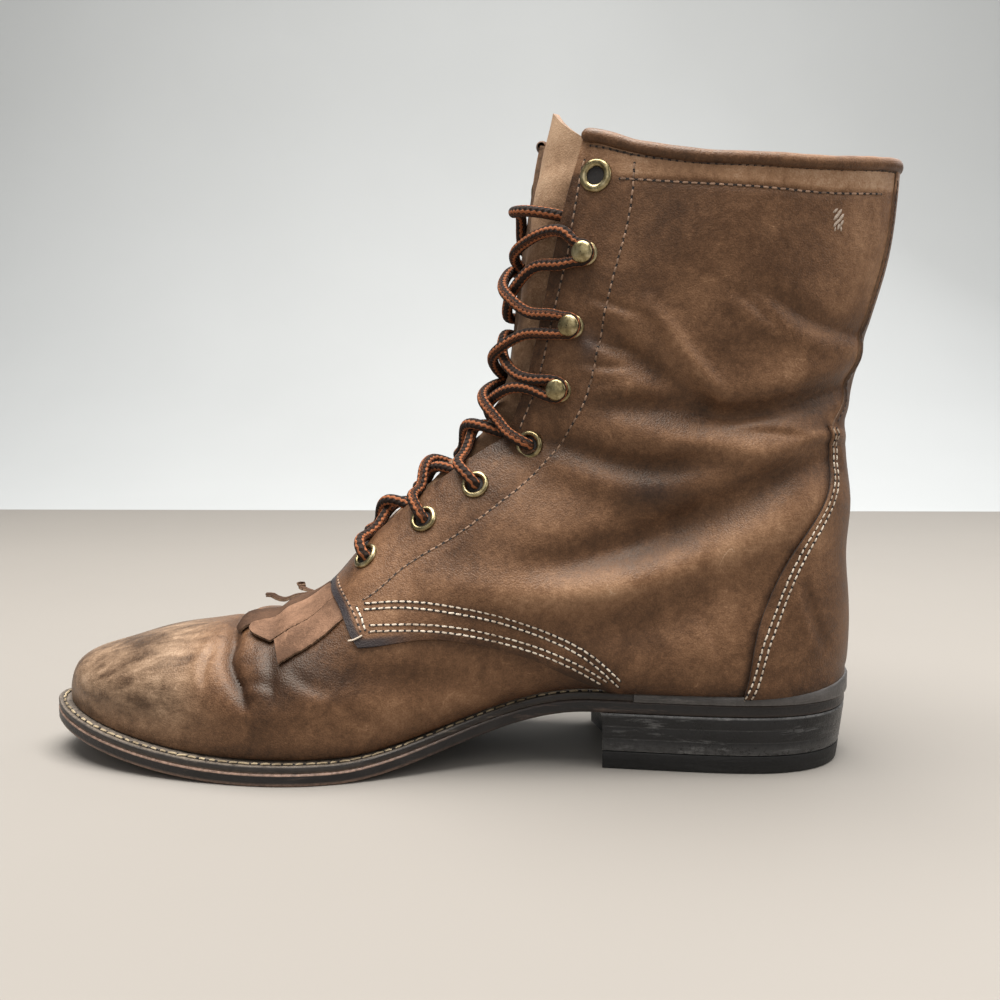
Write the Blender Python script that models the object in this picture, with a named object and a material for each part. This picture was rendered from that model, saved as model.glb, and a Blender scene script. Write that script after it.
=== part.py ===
"""Lace-up western boot for the right foot, modelled as the pieces a bootmaker puts together.

Shapes are worked out in millimetres in the boot's own measure and turned into metres as each object is made:
  s  along the foot, 0 at the back of the sole and SOLE_LENGTH at the tip of the toe
  y  across the foot, positive to the inner (medial) side
  z  up from the floor
"""

import math
from collections import namedtuple

import bmesh
import bpy
import numpy as np
from mathutils import Matrix, Vector

MM = 0.001
SHARP_ANGLE = math.radians(40)

# Driving sizes, in millimetres
SOLE_LENGTH = 300.0
ORIGIN_S = 142.175  # the part's origin is under the middle of its length
ORIGIN_Y = -0.782
GAP = 0.3  # clearance between pieces that meet

# Bottom of the boot
HEEL_BREAST_S = 93.0
HEEL_BREAST_HOLLOW = 4.0
HEEL_TAPER = 1.8
TOP_LIFT_HEIGHT = 7.0
HEEL_HEIGHT = 20.7
SHANK_FRONT_S = 188.0
TOE_SPRING_S = 215.0
TOE_SPRING = 13.0
OUTSOLE_THICK = 4.8
WELT_THICK = 2.2
SEAM_GAP = 1.0  # between the upper and the strips it stands on
SOLE_STACK = OUTSOLE_THICK + GAP + WELT_THICK + SEAM_GAP
RAND_RISE = 3.8  # how far the seat of the heel cups up at the back
RAND_RISE_LENGTH = 42.0
RAND_LIP = 0.9
WELT_WIDTH = 12.0
WELT_SET_BACK = 0.2  # from the edge of the outsole
INSOLE_THICK = 3.0
INSOLE_CLEARANCE = 1.9
BLUNT_TIP = 0.4  # least half width of a plate

# Upper
WALL = 2.4
TONGUE_THICK = 2.2
TONGUE_CLEARANCE = 1.7
TONGUE_TOP_CLEARANCE = 2.4  # behind the binding of the collar
TONGUE_OVERLAP = 13.0  # how far the tongue reaches under each facing
TONGUE_TOP_U = 21.7
TONGUE_FALL = 1.1  # how far its top edge falls to the sides, in sections
TONGUE_PEAK = -0.35  # sideways place of its highest point
KILTIE_THICK = 1.9
KILTIE_LIFT = 0.6
COUNTER_THICK = 1.7
COUNTER_LIFT = 1.2
COUNTER_FOOT = 0.22  # share of the way up to the widest place where the counter starts, beside the heel
COUNTER_TURN = 0.25
BINDING_RADIUS = 2.6
BINDING_GAP = 0.5  # between the binding and the edge it rolls over

# Fittings and lace
EYELET_HOLE = 3.0
EYELET_WALL = 0.5
EYELET_HOLE_ROOM = 0.4  # between the barrel of an eyelet and the leather round it
HOOK_SHANK = 1.7
HOOK_NECK = 2.1
HOOK_CAP = 3.9
HOOK_CAP_LEVEL = 5.6  # from the leather to the underside of the cap
HOOK_HOLE_ROOM = 0.5
FITTING_DEPTH = WALL + 0.2  # how far a fitting goes in
FITTING_LIFT = 1.25  # from the leather to the underside of a flange
LACE_RADIUS = 2.3
LACE_LIFT = 4.9
LACE_TURN = 7.2  # from the middle of an eyelet to where the lace turns back

# Outline of the sole, seen from above: distance from the back, inner and outer half width
Outline = namedtuple("Outline", "s medial lateral")
OUTLINE = [
    Outline(0, 0, 0),
    Outline(10, 25.0, 25.0),
    Outline(32, 35.2, 35.0),
    Outline(60, 34.6, 35.8),
    Outline(92, 30.4, 34.6),
    Outline(118, 28.4, 36.0),
    Outline(145, 33.0, 41.0),
    Outline(172, 43.0, 48.0),
    Outline(198, 50.0, 52.0),
    Outline(222, 48.8, 49.4),
    Outline(248, 42.6, 42.2),
    Outline(270, 34.0, 33.2),
    Outline(286, 24.0, 23.2),
    Outline(296, 12.8, 12.4),
    Outline(300, 0, 0),
]

# How far the upper stands in from the edge of the sole
Margin = namedtuple("Margin", "s width")
MARGIN = [
    Margin(0, 1.6),
    Margin(60, 1.8),
    Margin(118, 2.8),
    Margin(198, 4.0),
    Margin(270, 4.6),
    Margin(300, 4.8),
]

# Sections of the upper, from the toe along the foot, round the heel and up to the collar. Each lies in a plane
# through its top point T on the instep and its bottom point B on the sole or the back seam.
#   half_m, half_l  widest half width on the inner and outer side, or SOLE to follow the edge of the sole
#   widest          how far from B to T the widest place lies, as a share
#   arch, base      exponents of the curves above and below that place, 2 for an ellipse
#   ridge           sideways place of T
#   gap_m, gap_l    edges of the facings, measured from T
#   dip             how far the sides sink below the plane
Section = namedtuple("Section", "t_s t_z b_s b_z half_m half_l widest arch base ridge gap_m gap_l dip")
SOLE = None  # a bottom point that lies on the seam with the sole
TOE_SWELL = 1.4  # how far the sides of the toe stand out over that seam
SECTIONS = [
    Section(294.9, 25.5, 295.2, SOLE, SOLE, SOLE, 0.36, 2.3, 2.2, 0.0, 0, 0, 0),
    Section(292.6, 32.3, 294.0, SOLE, SOLE, SOLE, 0.36, 2.3, 2.2, 0.0, 0, 0, 0),
    Section(287.5, 37.3, 290.0, SOLE, SOLE, SOLE, 0.36, 2.3, 2.2, 0.0, 0, 0, 0),
    Section(279.0, 41.3, 283.0, SOLE, SOLE, SOLE, 0.36, 2.3, 2.2, 0.2, 0, 0, 0),
    Section(266.0, 45.0, 271.5, SOLE, SOLE, SOLE, 0.35, 2.25, 2.2, 0.6, 0, 0, 0),
    Section(250.0, 47.4, 256.0, SOLE, SOLE, SOLE, 0.34, 2.15, 2.2, 1.2, 0, 0, 0),
    Section(232.0, 49.8, 236.0, SOLE, SOLE, SOLE, 0.32, 2.0, 2.2, 2.0, 0, 0, 0),
    Section(212.0, 54.3, 212.0, SOLE, 48.2, 49.8, 0.30, 1.85, 2.2, 2.6, 0, 0, 0),
    Section(193.0, 63.5, 188.0, SOLE, 47.2, 50.0, 0.30, 1.8, 2.2, 3.0, 0, 0, 0),
    Section(179.0, 81.0, 162.0, SOLE, 42.0, 46.4, 0.31, 1.8, 2.2, 3.0, 9.0, 8.0, 0),
    Section(165.0, 95.5, 130.0, SOLE, 37.8, 41.0, 0.33, 1.8, 2.2, 3.0, 10.0, 9.0, 0),
    Section(153.0, 106.5, 94.0, SOLE, 36.2, 37.6, 0.36, 1.85, 2.3, 3.0, 11.0, 9.5, 0),
    Section(144.0, 115.0, 54.0, SOLE, 35.6, 36.4, 0.38, 1.9, 2.5, 2.8, 12.0, 9.5, 0),
    Section(138.5, 120.5, 18.0, SOLE, 35.0, 35.6, 0.40, 1.95, 2.8, 2.6, 13.0, 9.5, 0),
    Section(135.5, 124.5, 1.6, SOLE, 34.4, 35.0, 0.42, 1.95, 3.0, 2.4, 14.0, 9.5, 0),
    Section(133.5, 129.0, 0.6, 62.0, 34.0, 34.6, 0.44, 2.0, 2.9, 2.2, 15.0, 9.0, 0),
    Section(131.5, 135.5, 0.6, 95.0, 33.6, 34.2, 0.46, 2.0, 2.7, 2.0, 16.0, 9.0, 0),
    Section(129.0, 144.5, 2.4, 121.0, 33.4, 34.2, 0.48, 2.05, 2.5, 1.6, 17.5, 8.5, 0),
    Section(126.5, 160.0, -5.4, 149.0, 34.6, 35.4, 0.49, 2.1, 2.4, 1.2, 19.5, 8.0, 0.5),
    Section(123.5, 185.0, -12.2, 179.0, 36.6, 37.4, 0.50, 2.15, 2.3, 0.8, 22.5, 7.5, 1.6),
    Section(119.5, 208.5, -14.0, 203.5, 37.8, 38.6, 0.50, 2.2, 2.2, 0.4, 25.0, 6.8, 3.4),
    Section(117.2, 221.5, -14.2, 215.0, 38.2, 39.0, 0.50, 2.2, 2.2, 0.2, 26.2, 6.4, 4.6),
    Section(112.6, 243.0, -14.6, 235.0, 38.6, 39.4, 0.50, 2.2, 2.2, 0.0, 27.0, 6.0, 5.0),
]
THROAT_U = 8.0  # the facings part here
HEEL_TURN_U = 14.0  # the bottom point reaches the back seam here
CUP_U = 15.0  # up to here the back follows the outline of the heel
SHAFT_U = 18.0  # from here it is an even curve
COLLAR_U = 21.0
LOWER_SHARE = 0.38  # share of a half section's points that lie below its widest place
TINY = 1e-6
UPPER_U = (
    [0.0, 0.4, 0.8, 1.25, 1.7, 2.2, 2.7, 3.25]
    + [3.85 + 0.6 * i for i in range(7)]
    + [8.0, 8.3, 8.75]
    + [9.3 + 0.6 * i for i in range(7)]
    + [13.35, 13.7, 14.0, 14.4, 14.9]
    + [15.45 + 0.6 * i for i in range(9)]
    + [20.6, 21.0]
)
UPPER_STEPS = 10  # points from the sole to the ridge, on each side

# Front edge of the heel counter, from the sole up to the back seam
CounterEdge = namedtuple("CounterEdge", "z s")
COUNTER_EDGE = [
    CounterEdge(26, 48.5),
    CounterEdge(51, 41.0),
    CounterEdge(66, 34.5),
    CounterEdge(82, 24.5),
    CounterEdge(95, 12.5),
    CounterEdge(106, 5.0),
    CounterEdge(118, 1.0),
]
COUNTER_U = [12.2, 12.5, 12.8, 13.1, 13.4, 13.75, 14.08, 14.4, 14.9, 15.4, 15.9, 16.3, 16.7]

# Eyelets and hooks up each facing, from the vamp to the collar; edge is the distance to the edge of the facing
Fitting = namedtuple("Fitting", "name u kind flange edge")
FITTINGS = [
    Fitting("eyelet_1", 9.0, "eyelet", 5.2, 9.5),
    Fitting("eyelet_2", 10.25, "eyelet", 5.2, 12.0),
    Fitting("eyelet_3", 11.6, "eyelet", 5.2, 12.0),
    Fitting("eyelet_4", 14.1, "eyelet", 5.2, 11.0),
    Fitting("hook_5", 16.5, "hook", 4.6, 15.0),
    Fitting("hook_6", 17.97, "hook", 4.6, 14.0),
    Fitting("hook_7", 19.0, "hook", 4.6, 13.0),
    Fitting("eyelet_8", 20.25, "eyelet", 5.8, 9.0),
]
TOP_LACED = 7  # the lace stops at this pair

# Fringe of the kiltie, from the outer side to the inner: place of each tip and of the notch after it
Fringe = namedtuple("Fringe", "across tip_u notch_u")
FRINGE = [
    Fringe(-0.92, 7.25, 7.55),
    Fringe(-0.55, 6.72, 7.15),
    Fringe(-0.18, 6.25, 6.80),
    Fringe(0.18, 6.25, 6.80),
    Fringe(0.55, 6.72, 7.15),
    Fringe(0.92, 7.25, 7.55),
]
KILTIE_REAR_U = 7.86
KILTIE_REAR_HALF = 20.0
KILTIE_FRONT_HALF = 40.0

Finish = namedtuple("Finish", "color roughness metallic")
FINISHES = {
    "leather": Finish((0.175, 0.085, 0.045), 0.55, 0.0),
    "kiltie_leather": Finish((0.30, 0.15, 0.08), 0.6, 0.0),
    "lining": Finish((0.42, 0.27, 0.15), 0.7, 0.0),
    "sole_black": Finish((0.022, 0.021, 0.022), 0.5, 0.0),
    "rubber": Finish((0.016, 0.016, 0.017), 0.6, 0.0),
    "brass": Finish((0.36, 0.29, 0.14), 0.35, 1.0),
    "lace_cord": Finish((0.06, 0.032, 0.022), 0.8, 0.0),
}


# Curves

def natural_spline(xs, ys):
    """A smooth function through the points, with no bend at its two ends."""
    xs, ys = np.asarray(xs, float), np.asarray(ys, float)
    n, h = len(xs), np.diff(xs)
    rows, right = np.eye(n), np.zeros(n)
    for i in range(1, n - 1):
        rows[i, i - 1 : i + 2] = h[i - 1], 2 * (h[i - 1] + h[i]), h[i]
        right[i] = 6 * ((ys[i + 1] - ys[i]) / h[i] - (ys[i] - ys[i - 1]) / h[i - 1])
    bend = np.linalg.solve(rows, right)

    def value(x):
        i = int(np.clip(np.searchsorted(xs, x) - 1, 0, n - 2))
        a, b = xs[i + 1] - x, x - xs[i]
        return (
            (bend[i] * a**3 + bend[i + 1] * b**3) / (6 * h[i])
            + (ys[i] / h[i] - bend[i] * h[i] / 6) * a
            + (ys[i + 1] / h[i] - bend[i + 1] * h[i] / 6) * b
        )

    return value


def smoothstep(t):
    t = min(1.0, max(0.0, t))
    return t * t * (3 - 2 * t)


def round_end_angle(s):
    """Turns a distance along the sole into an angle, so that both ends of the outline come out round."""
    return math.acos(max(-1.0, min(1.0, 1 - 2 * s / SOLE_LENGTH)))


_outline = {
    side: natural_spline([round_end_angle(r.s) for r in OUTLINE], [getattr(r, name) for r in OUTLINE])
    for side, name in ((1, "medial"), (-1, "lateral"))
}
_margin = natural_spline([r.s for r in MARGIN], [r.width for r in MARGIN])


def sole_edge(angle, side, inset=0.0):
    """(s, y) on the edge of the sole, moved inwards by inset."""
    step = 1e-3
    low, high = max(0.0, angle - step), min(math.pi, angle + step)

    def at(a):
        return SOLE_LENGTH * (1 - math.cos(a)) / 2, side * max(0.0, _outline[side](a))

    (s, y), (s0, y0), (s1, y1) = at(angle), at(low), at(high)
    along = math.hypot(s1 - s0, y1 - y0)
    return s + side * inset * (y1 - y0) / along, y - side * inset * (s1 - s0) / along


EDGE_ANGLES = np.linspace(0, math.pi, 361)


def edge_line(side, inset):
    """Rising distances and half widths along the edge of the sole, moved inwards by inset(s)."""
    points = [sole_edge(a, side, inset(SOLE_LENGTH * (1 - math.cos(a)) / 2)) for a in EDGE_ANGLES]
    return np.array([(s, max(0.0, side * y)) for s, y in points]).T


def half_width(line, s):
    return float(np.interp(s, *line, left=0.0, right=0.0))


def sole_bottom(s):
    """Height of the outsole's underside: level on the heel, down the shank, flat at the ball, up at the toe."""
    spring = max(0.0, s - TOE_SPRING_S) / (SOLE_LENGTH - TOE_SPRING_S)
    shank = smoothstep((SHANK_FRONT_S - s) / (SHANK_FRONT_S - HEEL_BREAST_S - HEEL_BREAST_HOLLOW))
    return (HEEL_HEIGHT + GAP) * shank + TOE_SPRING * spring**2


def seam_level(s):
    """Height of the seam between the upper and the bottom of the boot."""
    cup = max(0.0, 1 - s / RAND_RISE_LENGTH)
    return sole_bottom(s) + SOLE_STACK + RAND_RISE * cup**2


# Sections of the upper

_seam = {side: edge_line(side, _margin) for side in (1, -1)}


def section_value(row, name):
    """A value of the table, worked out from the sole where the table says so."""
    value = getattr(row, name)
    if value is not SOLE:
        return value
    if name == "b_z":
        return seam_level(row.b_s)
    width = half_width(_seam[1 if name == "half_m" else -1], row.b_s)
    return width + TOE_SWELL if width > 0 else 0.0


_rows = range(len(SECTIONS))
_column = {name: natural_spline(_rows, [section_value(r, name) for r in SECTIONS]) for name in Section._fields}


class Slice:
    """One section of the upper, grown outwards by a distance, or shrunk if it is negative."""

    def __init__(self, u, grow=0.0):
        c = {name: _column[name](u) for name in Section._fields}
        top, bottom = Vector((c["t_s"], c["t_z"])), Vector((c["b_s"], c["b_z"]))
        self.tip = u <= 0
        on_sole = u < HEEL_TURN_U
        if on_sole:
            bottom.y = seam_level(c["b_s"])
        self.top = top + (top - bottom).normalized() * grow
        self.bottom = bottom if on_sole else bottom - Vector((grow, 0))
        self.back = 0.0 if on_sole else c["b_s"] - MARGIN[0].width
        self.cup = 1 - smoothstep((u - CUP_U) / (SHAFT_U - CUP_U))
        self.widest, self.arch, self.base = c["widest"], c["arch"], c["base"]
        self.ridge, self.dip = c["ridge"], c["dip"]
        self.half = {1: max(0.0, c["half_m"]) + grow, -1: max(0.0, c["half_l"]) + grow}
        parted = u > THROAT_U
        self.gap = {1: max(0.0, c["gap_m"]) * parted, -1: max(0.0, c["gap_l"]) * parted}

    def plan(self, side, share):
        """Half width of the seam with the sole, below or behind a place on the section."""
        s = self.bottom.lerp(self.top, share).x
        return half_width(_seam[side], s - self.back)

    def place(self, side, share, y):
        s, z = self.bottom.lerp(self.top, share)
        sink = self.dip * (y / max(self.half[side], TINY)) ** 2
        return Vector((s, side * y + self.ridge * share**2, z - sink))

    def below(self, side, t):
        """A point from the seam at 0 to the widest place at 1. Round the heel it follows the sole's outline."""
        angle, power = t * math.pi / 2, 2 / self.base
        share = self.widest * (1 - math.cos(angle) ** power)
        swell = math.sin(angle) ** power
        cup = self.plan(side, share) + (self.half[side] - self.plan(side, self.widest)) * swell
        y = self.cup * cup + (1 - self.cup) * self.half[side] * swell
        return self.place(side, share, 0.0 if self.tip else max(0.0, y))

    def above(self, side, angle):
        """A point between the widest place at angle 0 and the ridge at a quarter turn."""
        power = 2 / self.arch
        rise = max(0.0, math.sin(angle)) ** power
        y = self.half[side] * max(0.0, math.cos(angle)) ** power
        return self.place(side, self.widest + (1 - self.widest) * rise, y)

    def angle_at(self, side, y):
        share = min(1.0, max(0.0, y / max(self.half[side], TINY)))
        return math.acos(share ** (self.arch / 2))

    def across(self, y):
        """The point of the arch that lies y to the side of the ridge."""
        side = 1 if y >= 0 else -1
        return self.above(side, self.angle_at(side, abs(y)))

    def along(self, side, share):
        """A point on the way from the seam at 0, over the widest place at 1, to the ridge at 2."""
        return self.below(side, share) if share < 1 else self.above(side, (share - 1) * math.pi / 2)

    def half_points(self, side, count):
        """Points from the seam to the edge of the facing, or to the ridge where there is none."""
        low = max(2, round(count * LOWER_SHARE))
        last = self.angle_at(side, self.gap[side]) if self.gap[side] > 0 else math.pi / 2
        points = [self.below(side, i / low) for i in range(low)]
        return points + [self.above(side, last * i / (count - low)) for i in range(count - low + 1)]


def back_from_edge(u, side, distance):
    """Sideways place of a point that far behind the edge of the facing, measured on the leather."""
    cut = Slice(u)
    y, run = cut.gap[side], 0.0
    step = 0.1
    while run < distance and y < cut.half[side] - step:
        run += (cut.across(side * (y + step)) - cut.across(side * y)).length
        y += step
    return y


def outward(u, y):
    """Outward direction of the upper at a section and a sideways place."""
    du, dy = 0.04, 0.4
    along = Slice(u + du).across(y) - Slice(u - du).across(y)
    over = Slice(u).across(y + dy) - Slice(u).across(y - dy)
    return over.cross(along).normalized()


# Objects

def material(name):
    found = bpy.data.materials.get(name)
    if found:
        return found
    made = bpy.data.materials.new(name)
    made.use_nodes = True
    shader = made.node_tree.nodes["Principled BSDF"]
    finish = FINISHES[name]
    shader.inputs["Base Color"].default_value = (*finish.color, 1)
    shader.inputs["Roughness"].default_value = finish.roughness
    shader.inputs["Metallic"].default_value = finish.metallic
    made.diffuse_color = (*finish.color, 1)
    return made


def to_world(point):
    return Vector((point[0] - ORIGIN_S, point[1] - ORIGIN_Y, point[2])) * MM


def new_object(name, mesh, finish):
    mesh.shade_smooth()
    mesh.set_sharp_from_angle(angle=SHARP_ANGLE)
    mesh.materials.append(material(finish))
    made = bpy.data.objects.new(name, mesh)
    bpy.context.scene.collection.objects.link(made)
    made.parent = bpy.data.objects.get("boot")
    return made


def mesh_of(name, points, faces, merge=1e-7):
    """A mesh of points in the boot's own measure."""
    mesh = bpy.data.meshes.new(name)
    mesh.from_pydata([to_world(p) for p in points], [], faces)
    made = bmesh.new()
    made.from_mesh(mesh)
    bmesh.ops.remove_doubles(made, verts=made.verts, dist=merge)
    bmesh.ops.dissolve_degenerate(made, edges=made.edges, dist=merge)
    made.to_mesh(mesh)
    made.free()
    return mesh


def face_outwards(mesh):
    made = bmesh.new()
    made.from_mesh(mesh)
    bmesh.ops.recalc_face_normals(made, faces=made.faces)
    made.to_mesh(mesh)
    made.free()


def ringed(name, rings, finish):
    """A solid through rings of points, with a face over each end."""
    size = len(rings[0])
    points = [p for ring in rings for p in ring]
    faces = []
    for i in range(len(rings) - 1):
        here, after = i * size, (i + 1) * size
        faces += [(here + j, here + (j + 1) % size, after + (j + 1) % size, after + j) for j in range(size)]
    faces += [tuple(range(size)), tuple((len(rings) - 1) * size + j for j in range(size))]
    mesh = mesh_of(name, points, faces)
    face_outwards(mesh)
    return new_object(name, mesh, finish)


def shell(name, grid_outer, grid_inner, finish):
    """A solid between two grids of points of the same size, closed round its rim."""
    rows, columns = len(grid_outer), len(grid_outer[0])
    points = [p for row in grid_outer for p in row] + [p for row in grid_inner for p in row]
    inner = rows * columns
    faces = []
    for i in range(rows - 1):
        for j in range(columns - 1):
            quad = (i * columns + j, i * columns + j + 1, (i + 1) * columns + j + 1, (i + 1) * columns + j)
            faces += [quad, tuple(inner + k for k in reversed(quad))]
    rim = [j for j in range(columns)]
    rim += [i * columns + columns - 1 for i in range(1, rows)]
    rim += [(rows - 1) * columns + j for j in range(columns - 2, -1, -1)]
    rim += [i * columns for i in range(rows - 2, 0, -1)]
    for a, b in zip(rim, rim[1:] + rim[:1]):
        faces.append((b, a, inner + a, inner + b))
    mesh = mesh_of(name, points, faces)
    face_outwards(mesh)
    return new_object(name, mesh, finish)


# Bottom of the boot

def round_ended(start, stop, count):
    """Distances from start to stop, closer together at both ends, which are round."""
    return [start + (stop - start) * (1 - math.cos(a)) / 2 for a in np.linspace(0, math.pi, count)]


def outline_plate(name, start, stop, count, inset, low, high, finish):
    """A plate with the outline of the sole, moved inwards by inset(s)."""
    edge = {side: edge_line(side, inset) for side in (1, -1)}

    def width(s, side):
        return max(BLUNT_TIP, half_width(edge[side], s))

    rings = []
    for s in round_ended(start, stop, count):
        inner, outer = width(s, 1), -width(s, -1)
        corners = [(inner, low(s)), (inner, high(s)), (outer, high(s)), (outer, low(s))]
        rings.append([Vector((s, y, z)) for y, z in corners])
    return ringed(name, rings, finish)


def outsole_top(s):
    return sole_bottom(s) + OUTSOLE_THICK


def make_outsole():
    tip = 0.05
    outline_plate(
        "outsole", tip, SOLE_LENGTH - tip, 50, lambda s: 0.0, sole_bottom, outsole_top, "sole_black"
    )


def seat_level(s):
    """Height of the strips that the upper stands on."""
    return seam_level(s) - SEAM_GAP


def edge_strip(name, places, inset_outer, inset_inner, finish):
    """A strip on the outsole round its edge, over (angle, side) places from one end to the other."""
    rings = []
    for angle, side in places:
        outer, inner = sole_edge(angle, side, inset_outer), sole_edge(angle, side, inset_inner)
        low, high = outsole_top(outer[0]) + GAP, outsole_top(inner[0]) + GAP
        rings.append(
            [
                Vector((*outer, low)),
                Vector((*outer, seat_level(outer[0]))),
                Vector((*inner, seat_level(inner[0]))),
                Vector((*inner, high)),
            ]
        )
    return ringed(name, rings, finish)


def make_welt():
    start = round_end_angle(HEEL_BREAST_S + 1.0)
    angles = np.linspace(start, math.pi, 30)
    places = [(a, 1) for a in angles] + [(a, -1) for a in angles[-2::-1]]
    edge_strip("welt", places, WELT_SET_BACK, WELT_WIDTH, "sole_black")


def make_rand():
    stop = round_end_angle(HEEL_BREAST_S)
    angles = np.linspace(0, stop, 22)
    places = [(a, 1) for a in angles[::-1]] + [(a, -1) for a in angles[1:]]
    edge_strip("heel_rand", places, -RAND_LIP, WELT_WIDTH - 2, "sole_black")


def heel_layer(name, low, high, finish):
    """A layer of the heel, tapering towards the floor, with a breast that is hollow across."""

    def inset(z):
        return HEEL_TAPER * (1 - z / HEEL_HEIGHT)

    angles = np.linspace(0, round_end_angle(HEEL_BREAST_S), 20)
    rings = []
    for z in (low, high):
        edge = [sole_edge(a, 1, inset(z)) for a in angles[::-1]]
        edge += [sole_edge(a, -1, inset(z)) for a in angles[1:]]
        (s0, y0), (s1, y1) = edge[-1], edge[0]
        steps = 7
        breast = []
        for i in range(1, steps):
            t = i / steps
            hollow = HEEL_BREAST_HOLLOW * (1 - (2 * t - 1) ** 2)
            breast.append((s0 + (s1 - s0) * t - hollow, y0 + (y1 - y0) * t))
        rings.append([Vector((s, y, z)) for s, y in edge + breast])
    ringed(name, rings, finish)


def make_heel():
    heel_layer("heel_top_lift", 0.0, TOP_LIFT_HEIGHT - GAP, "rubber")
    heel_layer("heel_block", TOP_LIFT_HEIGHT, HEEL_HEIGHT, "sole_black")


def make_insole():
    def inset(s):
        return _margin(s) + WALL + INSOLE_CLEARANCE

    def top(s):
        return seam_level(s) + INSOLE_THICK

    outline_plate("insole", 7.0, SOLE_LENGTH - 10.5, 40, inset, seam_level, top, "lining")


# Upper

def make_upper():
    points, faces = [], []
    columns = UPPER_STEPS + 1
    for side in (1, -1):
        first = len(points)
        for u in UPPER_U:
            points += Slice(u).half_points(side, UPPER_STEPS)
        for i in range(len(UPPER_U) - 1):
            for j in range(UPPER_STEPS):
                a = first + i * columns + j
                quad = (a, a + 1, a + columns + 1, a + columns)
                faces.append(quad if side < 0 else quad[::-1])
    mesh = mesh_of("upper", points, faces, merge=2e-5)
    upper = new_object("upper", mesh, "leather")
    wall = upper.modifiers.new("wall", "SOLIDIFY")
    wall.thickness = WALL * MM
    wall.offset = -1
    wall.use_even_offset = True
    wall.use_quality_normals = True
    holes = upper.modifiers.new("holes", "BOOLEAN")
    holes.operation = "DIFFERENCE"
    holes.object = make_hole_cutters()


def make_hole_cutters():
    """One cutter of round pins, a pin for each eyelet and each rivet of a hook."""
    sides, long = 12, 9.0
    made = bmesh.new()
    for fitting, side in fittings_both_sides():
        if fitting.kind == "eyelet":
            radius = EYELET_HOLE + EYELET_WALL + EYELET_HOLE_ROOM
        else:
            radius = HOOK_SHANK + HOOK_HOLE_ROOM
        bmesh.ops.create_cone(
            made,
            cap_ends=True,
            segments=sides,
            radius1=radius * MM,
            radius2=radius * MM,
            depth=long * MM,
            matrix=fitting_matrix(fitting, side),
        )
    mesh = bpy.data.meshes.new("fitting_holes")
    made.to_mesh(mesh)
    made.free()
    cutter = bpy.data.objects.new("fitting_holes", mesh)
    bpy.context.scene.collection.objects.link(cutter)
    cutter.hide_render = True
    cutter.display_type = "WIRE"
    return cutter


def make_counter():
    """The stiff outer counter round the heel, standing proud of the upper."""
    columns, scan = 9, 200
    edge = natural_spline([r.z for r in COUNTER_EDGE], [r.s for r in COUNTER_EDGE])
    points, faces = [], []
    for side in (1, -1):
        first = len(points)
        for u in COUNTER_U:
            cut = Slice(u)
            foot = COUNTER_FOOT * (1 - smoothstep((u - HEEL_TURN_U + COUNTER_TURN) / COUNTER_TURN))
            reach = foot
            for i in range(2 * scan):
                point = cut.along(side, i / scan)
                if point.x < edge(point.z):
                    reach = max(reach, i / scan)
            points += [cut.along(side, foot + (reach - foot) * j / columns) for j in range(columns + 1)]
        for i in range(len(COUNTER_U) - 1):
            for j in range(columns):
                a = first + i * (columns + 1) + j
                quad = (a, a + 1, a + columns + 2, a + columns + 1)
                faces.append(quad if side < 0 else quad[::-1])
    counter = new_object("heel_counter", mesh_of("heel_counter", points, faces, merge=2e-5), "leather")
    lift = counter.modifiers.new("lift", "DISPLACE")
    lift.strength = COUNTER_LIFT * MM
    lift.mid_level = 0
    wall = counter.modifiers.new("wall", "SOLIDIFY")
    wall.thickness = COUNTER_THICK * MM
    wall.offset = 1
    wall.use_even_offset = True


def make_tongue():
    """The tongue under the facings, with a top edge that falls away to both sides."""
    columns = 10
    places = [8.5 + 0.65 * i for i in range(8)] + [13.7 + 1.05 * i for i in range(7)] + [20.7, TONGUE_TOP_U]
    first, last = places[0], places[-1]
    grids = []
    for thick in (0.0, TONGUE_THICK):
        grid = []
        for place in places:
            row = []
            for j in range(columns + 1):
                across = 2 * j / columns - 1
                fall = TONGUE_FALL * abs(across - TONGUE_PEAK) ** 1.6 * (place - first) / (last - first)
                u = place - fall
                rise = smoothstep((u - COLLAR_U + 2.5) / 2)
                clear = TONGUE_CLEARANCE + (TONGUE_TOP_CLEARANCE - TONGUE_CLEARANCE) * rise
                cut = Slice(u, -WALL - clear - thick)
                inner, outer = cut.gap[1] + TONGUE_OVERLAP, -cut.gap[-1] - TONGUE_OVERLAP
                row.append(cut.across((inner + outer) / 2 + across * (inner - outer) / 2))
            grid.append(row)
        grids.append(grid)
    shell("tongue", *grids, "lining")


def make_kiltie():
    """A fringed leaf on the vamp, in front of the facings."""
    across, fronts = [-1.0], [FRINGE[0].notch_u]
    for left, right in zip(FRINGE, FRINGE[1:] + [None]):
        across.append(left.across)
        fronts.append(left.tip_u)
        across.append((left.across + right.across) / 2 if right else 1.0)
        fronts.append(max(left.notch_u, right.notch_u) if right else left.notch_u)
    steps = 5
    grids = []
    for lift in (KILTIE_LIFT + KILTIE_THICK, KILTIE_LIFT):
        grid = []
        for i in range(steps + 1):
            t = i / steps
            half = KILTIE_REAR_HALF + (KILTIE_FRONT_HALF - KILTIE_REAR_HALF) * t
            row = []
            for place, front in zip(across, fronts):
                cut = Slice(KILTIE_REAR_U + (front - KILTIE_REAR_U) * t, lift)
                row.append(cut.across(place * half))
            grid.append(row)
        grids.append(grid)
    shell("kiltie", *grids, "kiltie_leather")


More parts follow.
